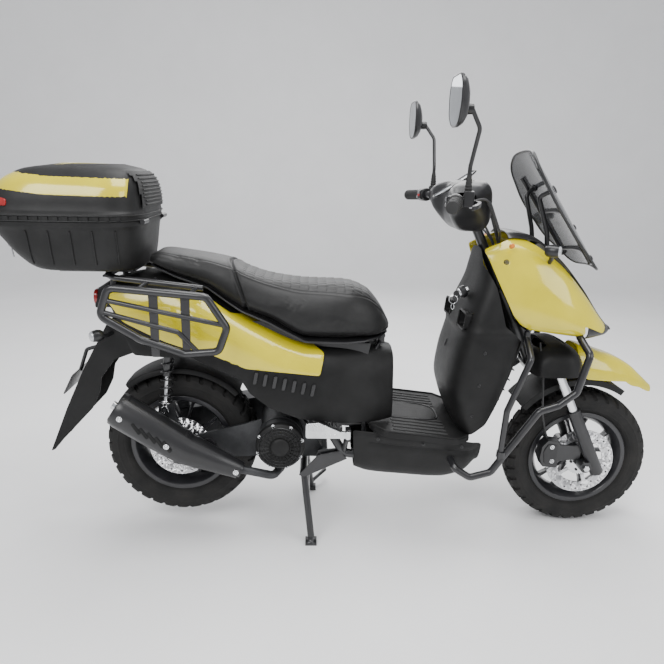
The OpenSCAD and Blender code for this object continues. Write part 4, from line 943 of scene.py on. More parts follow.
# A band of a ring form between two heights
def formBand(form, heights, out=0.0):
    points = []
    for h in heights:
        half = formPoint(form, np.full(61, h), around, out)
        points += list(half) + [q * (1, -1, 1) for q in half[-2:0:-1]]
    n = 120
    faces = [(j * n + i, j * n + (i + 1) % n, (j + 1) * n + (i + 1) % n,
        (j + 1) * n + i) for j in range(len(heights) - 1) for i in range(n)]
    return points, faces


def lidHeights(low, high, gap):
    return np.linspace(low, high, int((high - low) / gap) + 2)


tubWall = formBand(tubForm, np.concatenate([lidHeights(861, 872, 3), lidHeights(876, 1006, 6)]))
tubFloor = solidForm(tubForm, 3, 120, 0, 860.2, 866)
tubInner = formBand(tubForm, lidHeights(870, 1005, 12), -4)
rimBead = formBand(tubForm, [992, 993, 997, 1003, 1005.8], 3)
latch = slab(roundOutline([(-26, 984), (26, 984), (26, 1020), (-26, 1020)], 6), -518, -503, "yz")
latch = ([(q[0], q[1], q[2]) for q in latch[0]], latch[1])
lockPlate = lathe([(9, 2), (17, 2), (20, 0), (20, -8), (9, -8)], (-482, 0, 962), (-1, 0, 0), 40,
    closed=True)
sideRibs = []
for s in (1, -1):
    for i in range(p["ribs"]):
        x = -120 - 58 * i
        line = [formPoint(tubForm, np.array([z]), shareAt(tubForm, np.array([x]), np.array([z])),
            0.8)[0] * (1, s, 1) for z in np.linspace(890, 982, 10)]
        sideRibs.append(sweep(line, 2.6, 8))
hinge = [lathe([(0, -24), (7, -24), (7, 24), (0, 24)], (-60, s * 110, 1004), (0, 1, 0), 24) for s in (1,
    -1)]
makePiece("top_box_tub", [(tubWall, "boxPlastic"), (tubFloor, "boxPlastic"), (tubInner, "boxPlastic"),
    (rimBead, "boxPlastic"), (sideRibs, "boxPlastic"), (lockPlate, "blackSatin"), (hinge, "blackSatin")],
    "chassis", ["box_tub"], smooth=36)
lidWall = formBand(lidForm, np.concatenate([[1006.6, 1010, 1018, 1024, 1026, 1028, 1031, 1034],
    lidHeights(1038, 1158, 5)]))
lidTop = solidForm(lidForm, 2, 120, 0, 1156, 1158)
lidRimRibs = [sweep(formBand(lidForm, [z], 1.2)[0], 2.2, 8, loop=True) for z in (1009, 1023)]
tabLine = []
for s in (1, -1):
    for i in range(12):
        x = -110 - 26 * i
        at = formPoint(lidForm, np.array([1016.0]), shareAt(lidForm, np.array([x]), np.array([1016.0])),
            1)[0]
        edges = sorted((s * (at[1] - 2), s * (at[1] + 2.4)))
        tabLine.append(brick((x - 7, edges[0], 1011), (x + 7, edges[1], 1021)))
padSkin = formBand(lidForm, lidHeights(1040, 1140, 4), 6)
padSkin = keepFaces(padSkin, lambda c: c[0] > -96 + (1140 - c[2]) * 0.02 and abs(c[1]) < 118)
padRibs = []
for i in range(9):
    z = 1050 + 10 * i
    line = [q for q in formBand(lidForm, [z], 6.5)[0] if q[0] > -96 and abs(q[1]) < 104]
    line.sort(key=lambda q: q[1])
    padRibs.append(sweep(line, 2.8, 8))
makePiece("top_box_lid", [(lidWall, "boxPlastic"), (lidTop, "boxPlastic"), (lidRimRibs, "boxPlastic"),
    (tabLine, "boxPlastic"), (padSkin, "gripRubber"), (padRibs, "gripRubber"), (latch, "boxPlastic")],
    "lid", ["box_lid"], bevel=0, smooth=36)


def lidCrease(x, z):
    return foldAt([(-480, 1118), (-300, 1100), (-92, 1096)], 4, 40)(x, z) + 2.4


cap = skin(lidForm, p["panel"], 8, 12, out=lidCrease)
makePiece("top_box_panel", [(bothSides(cap), "yellowGloss")], "lid", ["box_lid_panel"],
    bevel=1.2, thick=p["wall"], smooth=24)
lamp = skin(lidForm, p["lamp"], 7, 6, out=lambda x, z: np.full(np.shape(x), 3.0))
makePiece("top_box_lamps", [(bothSides(lamp), "redLens")], "lid", ["box_lamps"], bevel=1,
    thick=4)
boxKeyAt = np.array([-486, 0, 962.0])
keyHead = slab([(c[0] * 9, c[1] * 11) for c in circleOutline(0, 0, 1, 24)], -1.5, 1.5, "xz")
keyHead = ([np.asarray(q) + boxKeyAt - (10, 0, 0) for q in keyHead[0]], keyHead[1])
secondKey = ([np.asarray(q) + (2, 4, -42) for q in keyHead[0]], keyHead[1])
makePiece("box_lock_key", [(lathe([(0, -2), (8, -2), (8, 8), (6, 9), (0, 9)], boxKeyAt + (6, 0, 0),
    (-1, 0, 0), 32), "brightAlloy"), (keyHead, "brightAlloy"),
    (ringShape(boxKeyAt - (11, 0, 18), (0.2, 1, 0), 11, 1.0), "chrome"), (secondKey, "brightAlloy"),
    (sweep([boxKeyAt + (-8, 4, -54), boxKeyAt + (-4, 5, -82)], 2.4, 8), "brightAlloy")], "luggage_key",
    ["box_key"], smooth=40)
print("top box done")

# Seat
seat = {
    "rows": [[-66, 874, 904, 84, 80], [-40, 864, 911, 102, 94], [20, 842, 905, 111, 102],
             [110, 812, 892, 115, 106],
             [165, 776, 880, 130, 112], [212, 748, 858, 144, 116], [290, 718, 834, 156, 116], [400, 662,
                                                                                               822, 162, 118],
             [520, 656, 820, 150, 110], [580, 656, 802, 128, 90], [626, 660, 756, 96, 64], [656, 668, 704,
                                                                                            50, 36]],
    "seamX": 168,              # where the pillion's cover meets the rider's
    "scaleSize": (27, 19), "scaleDepth": 1.5,
    "welt": 3.4, "crown": 5, "pressure": 4,
}
p = seat
seatForm = dict(along="x", power=0.6, rows=p["rows"])


# The foam blank: the form drawn in a little, for the cover to swell
def seatBlank():
    points, faces = solidForm(seatForm, 13, 64, -2.5)
    return points, faces


def swell(made, cap):
    before = np.array([v.co for v in made.data.vertices])
    cloth = made.modifiers.new("cover", "CLOTH")
    cloth.settings.use_pressure = True
    cloth.settings.uniform_pressure_force = p["pressure"]
    cloth.settings.effector_weights.gravity = 0
    cloth.settings.quality = 4
    for f in range(1, 13):
        bpy.context.scene.frame_set(f)
    graph = bpy.context.evaluated_depsgraph_get()
    after = np.array([v.co for v in made.evaluated_get(graph).data.vertices])
    made.modifiers.clear()
    bpy.context.scene.frame_set(1)
    move = after - before
    length = np.linalg.norm(move, axis=1, keepdims=True)
    move *= np.minimum(1, cap / np.maximum(length, 1e-9))
    return before + move


def makeSeat():
    mesh = bpy.data.meshes.new("seat_cover")
    points, faces = seatBlank()
    mesh.from_pydata(metres(points).tolist(), [], faces)
    made = bpy.data.objects.new("seat_cover", mesh)
    bpy.context.scene.collection.objects.link(made)
    remesh = made.modifiers.new("skin", "REMESH")
    remesh.mode, remesh.voxel_size = "VOXEL", 0.0065
    graph = bpy.context.evaluated_depsgraph_get()
    made.data = bpy.data.meshes.new_from_object(made.evaluated_get(graph))
    made.modifiers.clear()
    even = made.modifiers.new("even", "SMOOTH")
    even.iterations = 8
    graph = bpy.context.evaluated_depsgraph_get()
    made.data = bpy.data.meshes.new_from_object(made.evaluated_get(graph))
    made.modifiers.clear()
    moved = swell(made, 0.006)
    made.data.vertices.foreach_set("co", moved.ravel())
    made.data.update()
    round1 = made.modifiers.new("round", "SUBSURF")
    round1.levels = round1.render_levels = 2
    graph = bpy.context.evaluated_depsgraph_get()
    made.data = bpy.data.meshes.new_from_object(made.evaluated_get(graph))
    made.modifiers.clear()
    made.data.name = "seat_cover"
    return made


def seatDetail(made):
    count = len(made.data.vertices)
    co = np.zeros(count * 3, np.float32)
    normal = np.zeros(count * 3, np.float32)
    made.data.vertices.foreach_get("co", co)
    made.data.vertices.foreach_get("normal", normal)
    co, normal = co.reshape(-1, 3).astype(float), normal.reshape(-1, 3).astype(float)
    x, y, z = co[:, 0] * 1000 - rearAxleX, co[:, 1] * 1000, co[:, 2] * 1000
    lo, hi, wide, narrow = np.moveaxis(smoothRows(seatForm["rows"], x), -1, 0)
    lift = np.zeros(count)
    run = np.abs(y) + (hi - z) * 1.0          # distance down over the seat's side, about
    seam = p["seamX"] + 24 * (np.maximum(run, 0) / 120) ** 1.4
    lift -= 5.0 * np.exp(-((x - seam) / 4.2) ** 2)
    lift += 1.8 * np.exp(-((x - seam - 9) / 5) ** 2) + 1.8 * np.exp(-((x - seam + 9) / 5) ** 2)
    edge = 76 + 0.03 * np.clip(x, 0, 600)     # seam along the top's edge, with a piped ridge
    piping = np.abs(y) - edge * np.clip((narrow - 18) / 80, 0.3, 1.15)
    top = np.clip((z - (hi - 34)) / 20, 0, 1)
    lift += 1.6 * np.exp(-(piping / 2.6) ** 2) * top - 1.5 * np.exp(-((piping + 6) / 2.2) ** 2) * top
    a, b = p["scaleSize"]                      # scales pressed into the rider's part
    across, along = y / b, x / a
    row = np.floor(along)
    cell = across + 0.5 * (row % 2)
    dx, dy = along - row - 0.5, cell - np.floor(cell) - 0.5
    scale = np.clip(1 - (np.abs(dy) * 2) ** 2.2, 0, 1) * np.clip((dx + 0.5) ** 0.7, 0, 1)
    inner = np.clip((x - seam - 26) / 10, 0, 1) * np.clip((-piping - 9) / 4, 0,
        1) * top * np.clip((600 - x) / 10, 0, 1)
    lift += p["scaleDepth"] * (scale - 0.5) * inner
    base = np.clip((lo + 24 - z) / 6, 0, 1)    # the welt round the bottom edge
    lift += p["welt"] * np.exp(-((z - lo - 16) / 4) ** 2) - 2.5 * base * (z > lo + 4)
    made.data.vertices.foreach_set("co", (co + normal * (lift / 1000)[:,
        None]).astype(np.float32).ravel())
    made.data.update()
    made.data.shade_smooth()
    made.data.materials.clear()
    made.data.materials.append(materials["seatVinyl"])


cover = makeSeat()
seatDetail(cover)
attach(cover, "seat")
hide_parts("seat_cushion")
dress("seat_pan", "blackSatin", 0)
print("seat done")

# Steering
rake = math.radians(26)
steerAxis = np.array([-math.sin(rake), 0, math.cos(rake)])
steerFoot = np.array([1400.0, 0, 0])


# A place on the steering axis: how far up it, how far forward of it, and how far to the left
def onStem(up, forward=0.0, left=0.0):
    return steerFoot + steerAxis * up + np.array([math.cos(rake), 0,
        math.sin(rake)]) * forward + np.array([0, left, 0])


bars = {"path": [(758, -342, 1072), (800, -200, 1080), (880, -64, 1060), (880, 64, 1060),
    (800, 200, 1080), (758, 342, 1072)], "radius": 11, "gripRibs": 17, }
hand, handEnd = np.array([800.0, 200, 1080]), np.array([758.0, 342, 1072])
handAxis = unit(handEnd - hand)
tilt = math.acos(handAxis[2])
turn = math.atan2(handAxis[1], handAxis[0])
handX = np.array([math.cos(tilt) * math.cos(turn), math.cos(tilt) * math.sin(turn), -math.sin(tilt)])
handY = np.array([-math.sin(turn), math.cos(turn), 0])


# A shape drawn along the left grip: its Z runs outward along the bar
def atHand(shape):
    return [hand + handX * q[0] + handY * q[1] + handAxis * q[2] for q in np.asarray(shape[0],
        float)], shape[1]


makePiece("handlebar_tube", [(sweep(roundPath(bars["path"], 40), 11, 22), "blackPaint")], "steering_head",
    ["handlebar"], smooth=40)
gripProfile = [(0, 154), (10, 154), (15, 152.5), (17, 149)]
for i in range(bars["gripRibs"]):
    z = 147 - 5.6 * i
    gripProfile += [(17.0, z), (17.0, z - 3.0), (15.9, z - 3.4), (15.9, z - 5.0)]
gripProfile += [(17, 48), (20, 46), (20.5, 42), (19, 40), (11.2, 40)]
gripShape = atHand(lathe(gripProfile, (0, 0, 0), (0, 0, 1), 44))
barEnd = atHand(lathe([(0, 154), (12, 154), (14, 158), (13, 163), (0, 165)], (0, 0, -11), (0, 0, 1), 36))
makePiece("grip_left_rubber", [(gripShape, "gripRubber")], "steering_head", ["grip_left"],
    smooth=40)
makePiece("grip_right_rubber", [(mirrored(gripShape), "gripRubber")], "throttle",
    ["grip_right"], smooth=40)


def switchPod():
    ring = atHand(lathe([(11.1, 8), (20, 8), (21.5, 11), (21.5, 35), (20, 38), (11.1, 38)], (0, 0, 0),
        (0, 0, 1), 44, closed=True))
    arm = atHand(slab(roundOutline([(-11, -44), (11, -44), (11, -18), (-11, -18)], 4), 12, 35, "xy"))
    tankCap = atHand(slab(roundOutline([(-30, -48), (10, -48), (10, -22), (-30, -22)], 6), 12, 40, "xy"))
    face = atHand(slab(roundOutline([(-17, 14), (17, 14), (14, 24), (-14, 24)], 4), 11, 35, "xy"))
    rocker = atHand(slab(roundOutline([(-12, 20), (-2, 20), (-2, 29), (-12, 29)], 3), 15, 21, "xy"))
    slide = atHand(slab(roundOutline([(3, 20), (12, 20), (12, 28), (3, 28)], 3), 24, 32, "xy"))
    return [(ring, "blackSatin"), (arm, "blackSatin"), (tankCap, "blackSatin"), (face, "blackSatin"),
        (rocker, "greyPlastic"), (slide, "greyPlastic")]


# The mirror's stalk, with a ribbed rubber boot at its foot
mirrorPath = [(822, 232, 1096), (822, 234, 1170), (826, 286, 1262), (798, 305, 1305)]
boot = [(12, 0), (12.5, 4)]
for i in range(6):
    boot += [(11.5 - i * 0.7, 8 + 8 * i), (9.4 - i * 0.5, 12 + 8 * i)]
boot += [(6, 60), (5.4, 62)]
stalk = [(sweep(roundPath(mirrorPath, 30), 5.5, 16), "blackSatin"),
    (lathe(boot, (822, 232, 1090), (0, 0.02, 1), 32), "gripRubber")]
both = []
for shape, finish in switchPod() + stalk:
    both.append((bothSides(shape), finish))
makePiece("switch_pods", both, "steering_head", ["switch_housings"], bevel=0.9)
pressed = atHand(seated(lathe([(0, 0), (6, 0), (6, 9.6), (5, 11), (0, 11.4)], (0, 0, 0), (0, 0, 1), 32),
    (0, 15, 21), (0, 1, 0)))
makePiece("horn_press", [(pressed, "redButton")], "horn", ["horn_button"], smooth=40)
makePiece("starter_press", [(mirrored(pressed), "greyPlastic")], "starter",
    ["starter_button"], smooth=40)
leverLine = [(-16, -50), (-30, -50), (-44, -58), (-80, -57), (-130, -50), (-150, -46), (-157, -50),
    (-150, -56), (-130, -61), (-80, -67), (-40, -68), (-20, -57)]


def leverBlade():
    u = [(a, b) for a, b in roundOutline(leverLine, 6, 3)]
    blade = ([(x, b, -a) for a, b, x in slab(u, -5.5, 5.5, "xy")[0]], slab(u, -5.5, 5.5, "xy")[1])
    eye = lathe([(4.3, -6), (9, -6), (9, 6), (4.3, 6)], (0, -42, 23), (1, 0, 0), 32, closed=True)
    return [atHand(blade), atHand(eye)]


blade = leverBlade()
makePiece("lever_left_blade", [(blade, "blackPaint")], "brake_left", ["lever_left"],
    bevel=2, segments=3)
makePiece("lever_right_blade", [([mirrored(s) for s in blade], "blackPaint")], "brake_right",
    ["lever_right"], bevel=2, segments=3)
pin = atHand(lathe([(0, -12), (4, -12), (4, 12), (0, 12)], (0, -42, 23), (1, 0, 0), 24))
head = atHand(lathe([(0, 11), (6.5, 11), (6.5, 14.5), (5, 15.5), (0, 15.5)], (0, -42, 23), (1, 0, 0), 6))
makePiece("lever_pins", [(bothSides(pin), "brightAlloy"), (bothSides(head), "brightAlloy"),
    (bothSides(barEnd), "brightAlloy")], "steering_head", smooth=34)

mirror = {"at": (752, 312, 1322), "ball": (798, 305, 1305), "depth": 30,
    "outline": [(-60, -46), (-60, 44), (-36, 66), (10, 68), (52, 46), (62, 20), (60, -30), (34, -62),
    (-24, -68)], }
p = mirror


def mirrorShell():
    edge = roundOutline(p["outline"], 16, 5)
    rows = []
    for depth, share, shift in ((0.4, 0.93, 0), (0, 0.965, 0), (2, 1.0, 0), (8, 0.99, 0.02),
                                (18, 0.86, 0.1), (26, 0.62, 0.25),
                                (31, 0.34, 0.4)):
        rows.append([(p["at"][0] + depth, p["at"][1] + b * share - 4 * shift,
            p["at"][2] - a * share - 12 * shift) for a, b in edge])
    n = len(edge)
    points = [q for row in rows for q in row]
    faces = [(j * n + i, j * n + (i + 1) % n, (j + 1) * n + (i + 1) % n,
        (j + 1) * n + i) for j in range(len(rows) - 1) for i in range(n)]
    faces.append(tuple(range((len(rows) - 1) * n, len(rows) * n)))
    back = (points, faces)
    face = roundOutline([(a * 0.93, b * 0.93) for a, b in p["outline"]], 15, 5)
    k = len(face)
    glass = [(p["at"][0] + 0.8, p["at"][1] + b, p["at"][2] - a) for a, b in face]
    glass += [(q[0] + 2, q[1], q[2]) for q in glass]
    glassFaces = [tuple(range(k)), tuple(reversed(range(k, 2 * k)))]
    glassFaces += [(i, i + k, (i + 1) % k + k, (i + 1) % k) for i in range(k)]
    socket = lathe([(8.6, 24), (12, 26), (13, 31), (12, 42), (8.6, 43)], (758, 305, 1305), (1, 0, 0), 36,
        closed=True)
    return [(back, "blackSatin"), ((glass, glassFaces), "mirrorGlass"), (socket, "blackSatin")]


shell = mirrorShell()
makePiece("mirror_left_head", shell, "glass_left", ["mirror_left"], smooth=30)
makePiece("mirror_right_head", [(mirrored(s), f) for s, f in shell], "glass_right",
    ["mirror_right"], smooth=30)

coverRows = [[-166, 1062, 1102, -30, 34], [-120, 1035, 1122, -30, 58], [-50, 985, 1134, -24, 94],
    [50, 985, 1134, -24, 94], [120, 1035, 1122, -30, 58], [166, 1062, 1102, -30, 34]]
barCover = dict(setBack=848, ends=(22, 18), power=0.6)


# The cover round the middle of the bars, with a flat instrument face towards the rider
def coverShell():
    rows = []
    for y, low, high, back, front in coverRows:
        rows.append([y, low, high, barCover["setBack"] + back - (22 if abs(y) > 100 else 0),
            barCover["setBack"] + front - (18 if abs(y) > 150 else 0)])
    places = np.linspace(-166, 166, 49)
    values = smoothRows(rows, places)
    n = 48
    points = []
    for y, (low, high, back, front) in zip(places, values):
        for i in range(n):
            a = 2 * math.pi * (i + 0.5) / n
            points.append(((back + front) / 2 + bow(math.sin(a), 0.6) * (front - back) / 2, y,
                (low + high) / 2 + bow(math.cos(a), 0.6) * (high - low) / 2))
    faces = [(j * n + i, j * n + (i + 1) % n, (j + 1) * n + (i + 1) % n,
        (j + 1) * n + i) for j in range(len(places) - 1) for i in range(n)]
    return keepFaces((points, faces), lambda c: np.linalg.norm(np.cross(c - onStem(1080),
        steerAxis)) > 36 or c[2] > 1040)


dialAxis = unit((-0.55, 0, 0.83))
dialAt = np.array([842.0, 0, 1118])
dialFace = seated(slab(roundOutline([(-64, -28), (64, -28), (72, 0), (52, 26), (-52, 26), (-72, 0)], 12),
    0, 3, "xy"), dialAt, dialAxis, 90)
dialRim = seated(sweep([(a * 1.04, b * 1.06, 3) for a,
    b in roundOutline([(-64, -28), (64, -28), (72, 0), (52, 26), (-52, 26), (-72, 0)], 12)], 3, 8,
    loop=True), dialAt, dialAxis, 90)
makePiece("handlebar_cover_shell", [(coverShell(), "blackSatin"), (dialFace, "clearLens"),
    (dialRim, "blackSatin")], "steering_head", ["handlebar_cover"], bevel=0, thick=0,
    smooth=30)

cables = []
for s, y0, low in ((1, 150, 20), (1, 178, 60), (-1, 150, 34), (-1, 180, 72), (-1, 120, 10)):
    start = np.array([838.0, s * y0, 1076])
    path = [start, start + (60, -s * 14, 14), start + (96 + low * 0.3, -s * 60, -20 - low),
        (975, s * (30 + low * 0.2), 960), onStem(960, 34, s * 14)]
    cables.append(sweep(roundPath(path, 60, 10), 3.6, 12))
makePiece("control_cables", [(cables, "cableSheath")], "steering_head", smooth=50)
dress("steering_stem", "blackPaint", 0)
dress("fork_tubes", "chrome", 0)

beakSide = [(1262, 655), (1262, 552), (1293, 528), (1429, 515), (1451, 500), (1487, 490), (1520, 472),
    (1539, 466), (1539, 655)]
beak = {"fold": [(1266, 566), (1360, 552), (1450, 530), (1530, 478)], "depth": 6, "width": 60}
p = beak
beakSkin = skin(fenderForm, beakSide, 8, 6, creases=[p["fold"][:-1]],
    out=foldAt(p["fold"], p["depth"], p["width"]))
makePiece("front_beak", [(bothSides(beakSkin), "yellowGloss")], "steering_head",
    ["front_fender"], bevel=1.3, thick=4, smooth=24)
crownSide = [(1097, 552), (1097, 584), (1120, 622), (1160, 641), (1205, 641), (1240, 630), (1265, 606),
    (1265, 552)]
crownSkin = skin(crownForm, crownSide, 8, 4)
crownSkin = keepFaces(crownSkin, lambda c: np.linalg.norm(np.cross(c - onStem(650),
    steerAxis)) > 31 or c[2] < 560)
arc = lathe([(246, -74), (249, -74), (249, 74), (246, 74), (230, 74), (230, 71), (246, 71), (246, -71),
    (230, -71), (230, -74)], (0, 0, 0), (0, 0, 1), 60, 84, 0, closed=True)
arcStart, arcCentre = math.radians(58), np.array([1290.0, 0, 277])
arcPoints = []
for q in arc[0]:
    r, a = math.hypot(q[0], q[1]), math.atan2(q[1], q[0])
    arcPoints.append((r, a, q[2]))
arcPoints = [arcCentre + (r * math.cos(arcStart + (a - arcPoints[0][1]) % (2 * math.pi)), h,
    r * math.sin(arcStart + (a - arcPoints[0][1]) % (2 * math.pi))) for r, a, h in arcPoints]
makePiece("crown_cover_skin", [(bothSides(crownSkin), "blackMatte")], "steering_head",
    bevel=0.8, thick=3.5)
makePiece("inner_mudguard", [((arcPoints, arc[1]), "blackMatte")], "steering_head",
    ["crown_cover"], bevel=0.8)
print("steering and controls done")

# Fork and wheels
frontHub, rearHub = np.array([1310.0, 0, 236.5]), np.array([0.0, 0, 289.5])
dress("fork_lowers", "blackPaint", 1.2)
forkExtras = []
for s in (1, -1):
    forkExtras.append(lathe([(15.2, 452), (22.5, 450), (22.5, 440), (21.2, 438), (21.2, 436)],
        onStem(0, 54, s * 97), steerAxis, 40))
    forkExtras.append(lathe([(21.1, 300), (22, 302), (22, 312), (21.1, 314)], onStem(0, 54, s * 97),
        steerAxis, 40))
dustCaps = [lathe([(0, 114), (8, 114), (11, 114), (11, 122), (9, 124), (0, 124)], frontHub, (0, s, 0),
    6) for s in (1, -1)]
pads = [slab(roundOutline([(1180, 240), (1216, 236), (1218, 306), (1188, 310), (1174, 286)], 6), -95,
    -91)]
calBolts = [screw((x, -95, z), (0, -1, 0), 8) for x, z in ((1204, 250), (1200, 300))]
hose = sweep(roundPath([(1190, -74, 318), (1176, -80, 350), (1150, -104, 420), (1135, -108, 560),
    onStem(700, 40, -70)], 40, 9), 3.4, 12)
makePiece("front_brake_details", [(pads, "blackSatin"), (calBolts, "brightAlloy"),
    (dustCaps, "brightAlloy")], "fork", bevel=0.6)
makePiece("front_brake_hose", [(hose, "cableSheath")], "steering_head", smooth=50)

tread = {"blocks": 34, "depth": 7.0, "grooveShare": 0.30, "steps": 612, "profileSteps": 88, "rim": 152.1,
    }


# A tyre with chunky blocks: the profile is cut down where the grooves run
def tyreShape(hub, radius, half, bead):
    t = tread
    outer = [(t["rim"], bead), (164, bead), (171, bead + (half - bead) * 0.55), (186, half - 2),
        (200, half), (radius - 20, half - 3), (radius - 9, half - 13), (radius - 3, half * 0.52),
        (radius, half * 0.18), (radius, 0)]
    outer = [np.array(q) for q in outer]
    inner = [(t["rim"], bead - 10), (176, bead - 6), (198, half - 9), (radius - 24, half - 12),
        (radius - 15, half * 0.5), (radius - 12, 0)]
    fine = roundPath([(q[0], q[1], 0) for q in outer], 9, 4)
    run = np.concatenate([[0], np.cumsum([np.linalg.norm(b - a) for a, b in zip(fine, fine[1:])])])
    share = np.linspace(0, run[-1], t["profileSteps"] // 2)
    r = np.interp(share, run, [q[0] for q in fine])
    h = np.interp(share, run, [q[1] for q in fine])
    r = np.concatenate([r, r[-2::-1]])
    h = np.concatenate([h, -h[-2::-1]])
    angles = np.arange(t["steps"]) * 2 * math.pi / t["steps"]
    phase = angles * t["blocks"] / (2 * math.pi)
    rr, hh = np.broadcast_to(r, (t["steps"], len(r))).copy(), np.broadcast_to(h, (t["steps"], len(h)))
    crown = np.clip((rr - (radius - 24)) / 6, 0, 1)
    lean = 0.55 * np.abs(hh) / half
    lane = np.where(np.abs(hh) < half * 0.40, 0.0, 0.5)
    local = (phase[:, None] + lean + lane * np.sign(hh) * 0.5 + lane) % 1.0
    gap = t["grooveShare"] * (0.72 + 0.4 * np.abs(hh) / half)
    cross = np.clip((gap / 2 - np.abs(local - 0.5)) / 0.022, 0, 1)
    wave = half * 0.40 + 2.5 * np.sign(np.sin(2 * math.pi * phase[:, None]))
    line = np.clip((2.6 - np.abs(np.abs(hh) - wave)) / 1.0, 0, 1)
    sipe = np.clip((1.4 - np.abs(hh)) / 0.8, 0, 1) * 0.5
    cut = np.maximum(np.maximum(cross, line), sipe) * crown * t["depth"]
    scale = 1 - cut / np.maximum(np.hypot(rr, 0), 1)
    rr = rr * scale
    bandAt = (rr > 176) & (rr < 180) | (rr > 200) & (rr < 202)
    bulge = np.where(bandAt, 1.0, 0.0) * np.sign(hh)
    points = np.stack([hub[0] + rr * np.cos(angles)[:, None], hub[1] + hh + bulge,
        hub[2] + rr * np.sin(angles)[:, None]], -1)
    n = len(r)
    m = t["steps"]
    i, j = np.meshgrid(np.arange(m), np.arange(n - 1), indexing="ij")
    a = i * n + j
    b = ((i + 1) % m) * n + j
    faces = np.stack([a, a + 1, b + 1, b], -1).reshape(-1, 4)
    beadRing = lathe([(t["rim"], bead), (t["rim"], bead - 10), (176, bead - 8)], hub, (0, 1, 0), 96)
    other = lathe([(t["rim"], -bead), (t["rim"], 10 - bead), (176, 8 - bead)], hub, (0, 1, 0), 96)
    return [(points.reshape(-1, 3), [tuple(f) for f in faces.tolist()]), beadRing, other]


makePiece("front_tyre_tread", [(tyreShape(frontHub, 236.5, 60, 39.9), "tyreRubber")], "wheel_front",
    ["front_tyre"], smooth=28)
makePiece("rear_tyre_tread", [(tyreShape(rearHub, 243, 65, 47.9), "tyreRubber")], "wheel_rear",
    ["rear_tyre"], smooth=28)

wheel = {"spokePairs": 5, "spokeWidth": 13, "lip": 163}


# Five pairs of slim spokes that part towards the rim
def wheelShape(hub, half, hubLeft, hubRight, turn):
    rim = [(152, 4 - half), (163, 4 - half), (164, 2 - half), (163, -half), (150, -half), (146, 4 - half),
        (135, -22), (132, -14), (132, 14), (135, 22), (146, half - 4), (150, half), (163, half),
        (164, half - 2), (163, half - 4), (152, half - 4)]
    shapes = [(lathe(rim, hub, (0, 1, 0), 120, closed=True), "alloyBlack")]
    centre = [(8, -hubRight), (24, -hubRight), (26, 2 - hubRight), (26, -30), (34, -22), (40, -12),
        (40, 12), (34, 22), (26, 30), (26, hubLeft - 2), (24, hubLeft), (8, hubLeft)]
    shapes.append((lathe(centre, hub, (0, 1, 0), 60, closed=True), "alloyBlack"))
    for i in range(wheel["spokePairs"]):
        for lean in (-1, 1):
            a0 = math.radians(turn + 72 * i + lean * 9)
            a1 = math.radians(turn + 72 * i + lean * 15.5)
            path, wide, deep = [], [], []
            for t in np.linspace(0, 1, 9):
                a = a0 + (a1 - a0) * t ** 1.3
                r = 30 + (136 - 30) * t
                path.append((r, a))
                wide.append(wheel["spokeWidth"] / 2 * (1.15 - 0.55 * math.sin(math.pi * t) ** 0.8))
                deep.append(11 - 3 * t)
            points = []
            for (r, a), w, d in zip(path, wide, deep):
                for q in ((-w, -d), (-w * 0.45, -d - 3), (w * 0.45, -d - 3), (w, -d), (w, d),
                          (w * 0.45, d + 3),
                          (-w * 0.45, d + 3), (-w, d)):
                    x, z = r, q[0]
                    points.append(hub + (x * math.cos(a) - z * math.sin(a), q[1],
                        x * math.sin(a) + z * math.cos(a)))
            faces = [(k * 8 + m, k * 8 + (m + 1) % 8, (k + 1) * 8 + (m + 1) % 8,
                (k + 1) * 8 + m) for k in range(8) for m in range(8)]
            faces += [tuple(reversed(range(8))), tuple(range(64, 72))]
            shapes.append(((points, faces), "alloyBlack"))
    valve = [hub + (128 * math.cos(0.3), 10, 128 * math.sin(0.3)),
        hub + (112 * math.cos(0.3), 13, 112 * math.sin(0.3))]
    shapes.append((sweep(valve, 3.4, 12), "gripRubber"))
    return shapes


makePiece("front_wheel_casting", wheelShape(frontHub, 44, 60, 63, 18), "wheel_front",
    ["front_wheel"], bevel=0.8, smooth=36)
makePiece("rear_wheel_casting", wheelShape(rearHub, 52, 62, 68, 18), "wheel_rear",
    ["rear_wheel"], bevel=0.8, smooth=36)
dress("front_disc", "discSteel", 0.4)
dress("rear_disc", "discSteel", 0.4)


# The dark bolts of the disc's carrier, and the speed sensor's toothed ring
def discCarrier(hub, y, inner, toneTeeth):
    shapes = []
    for i in range(5):
        a = math.radians(72 * i + 36)
        shapes.append((screw(hub + (30 * math.cos(a), y - 1.5, 30 * math.sin(a)), (0, -1, 0), 7),
            "blackSatin"))
    ring = []
    for i in range(toneTeeth * 2):
        r = 46 if i % 2 else 43
        for k in (0, 0.9):
            a = math.pi * (i + k) / toneTeeth
            ring.append((hub[0] + r * math.cos(a), hub[2] + r * math.sin(a)))
    shapes.append((slab(ring, y - 2.4, y - 0.4), "brightAlloy"))
    return shapes


makePiece("front_disc_bolts", discCarrier(frontHub, -67, 76, 36), "wheel_front")
makePiece("rear_disc_bolts", discCarrier(rearHub, -72, 64, 30), "wheel_rear")
print("wheels done")

# Engine, swing arm and exhaust
engine = {"fanAt": (322, 336), "louvres": 22, "fins": 9, "caseBolts": 8}
fx, fz = engine["fanAt"]
fan = np.array([fx, -56, fz], float)
dress("engine_case", "darkCast", 1.6)
fanRing = lathe([(30, -118), (48, -121), (60, -120), (66, -117), (73, -112), (75, -106), (75, -96),
    (30, -96)], fan, (0, 1, 0), 72, closed=True)
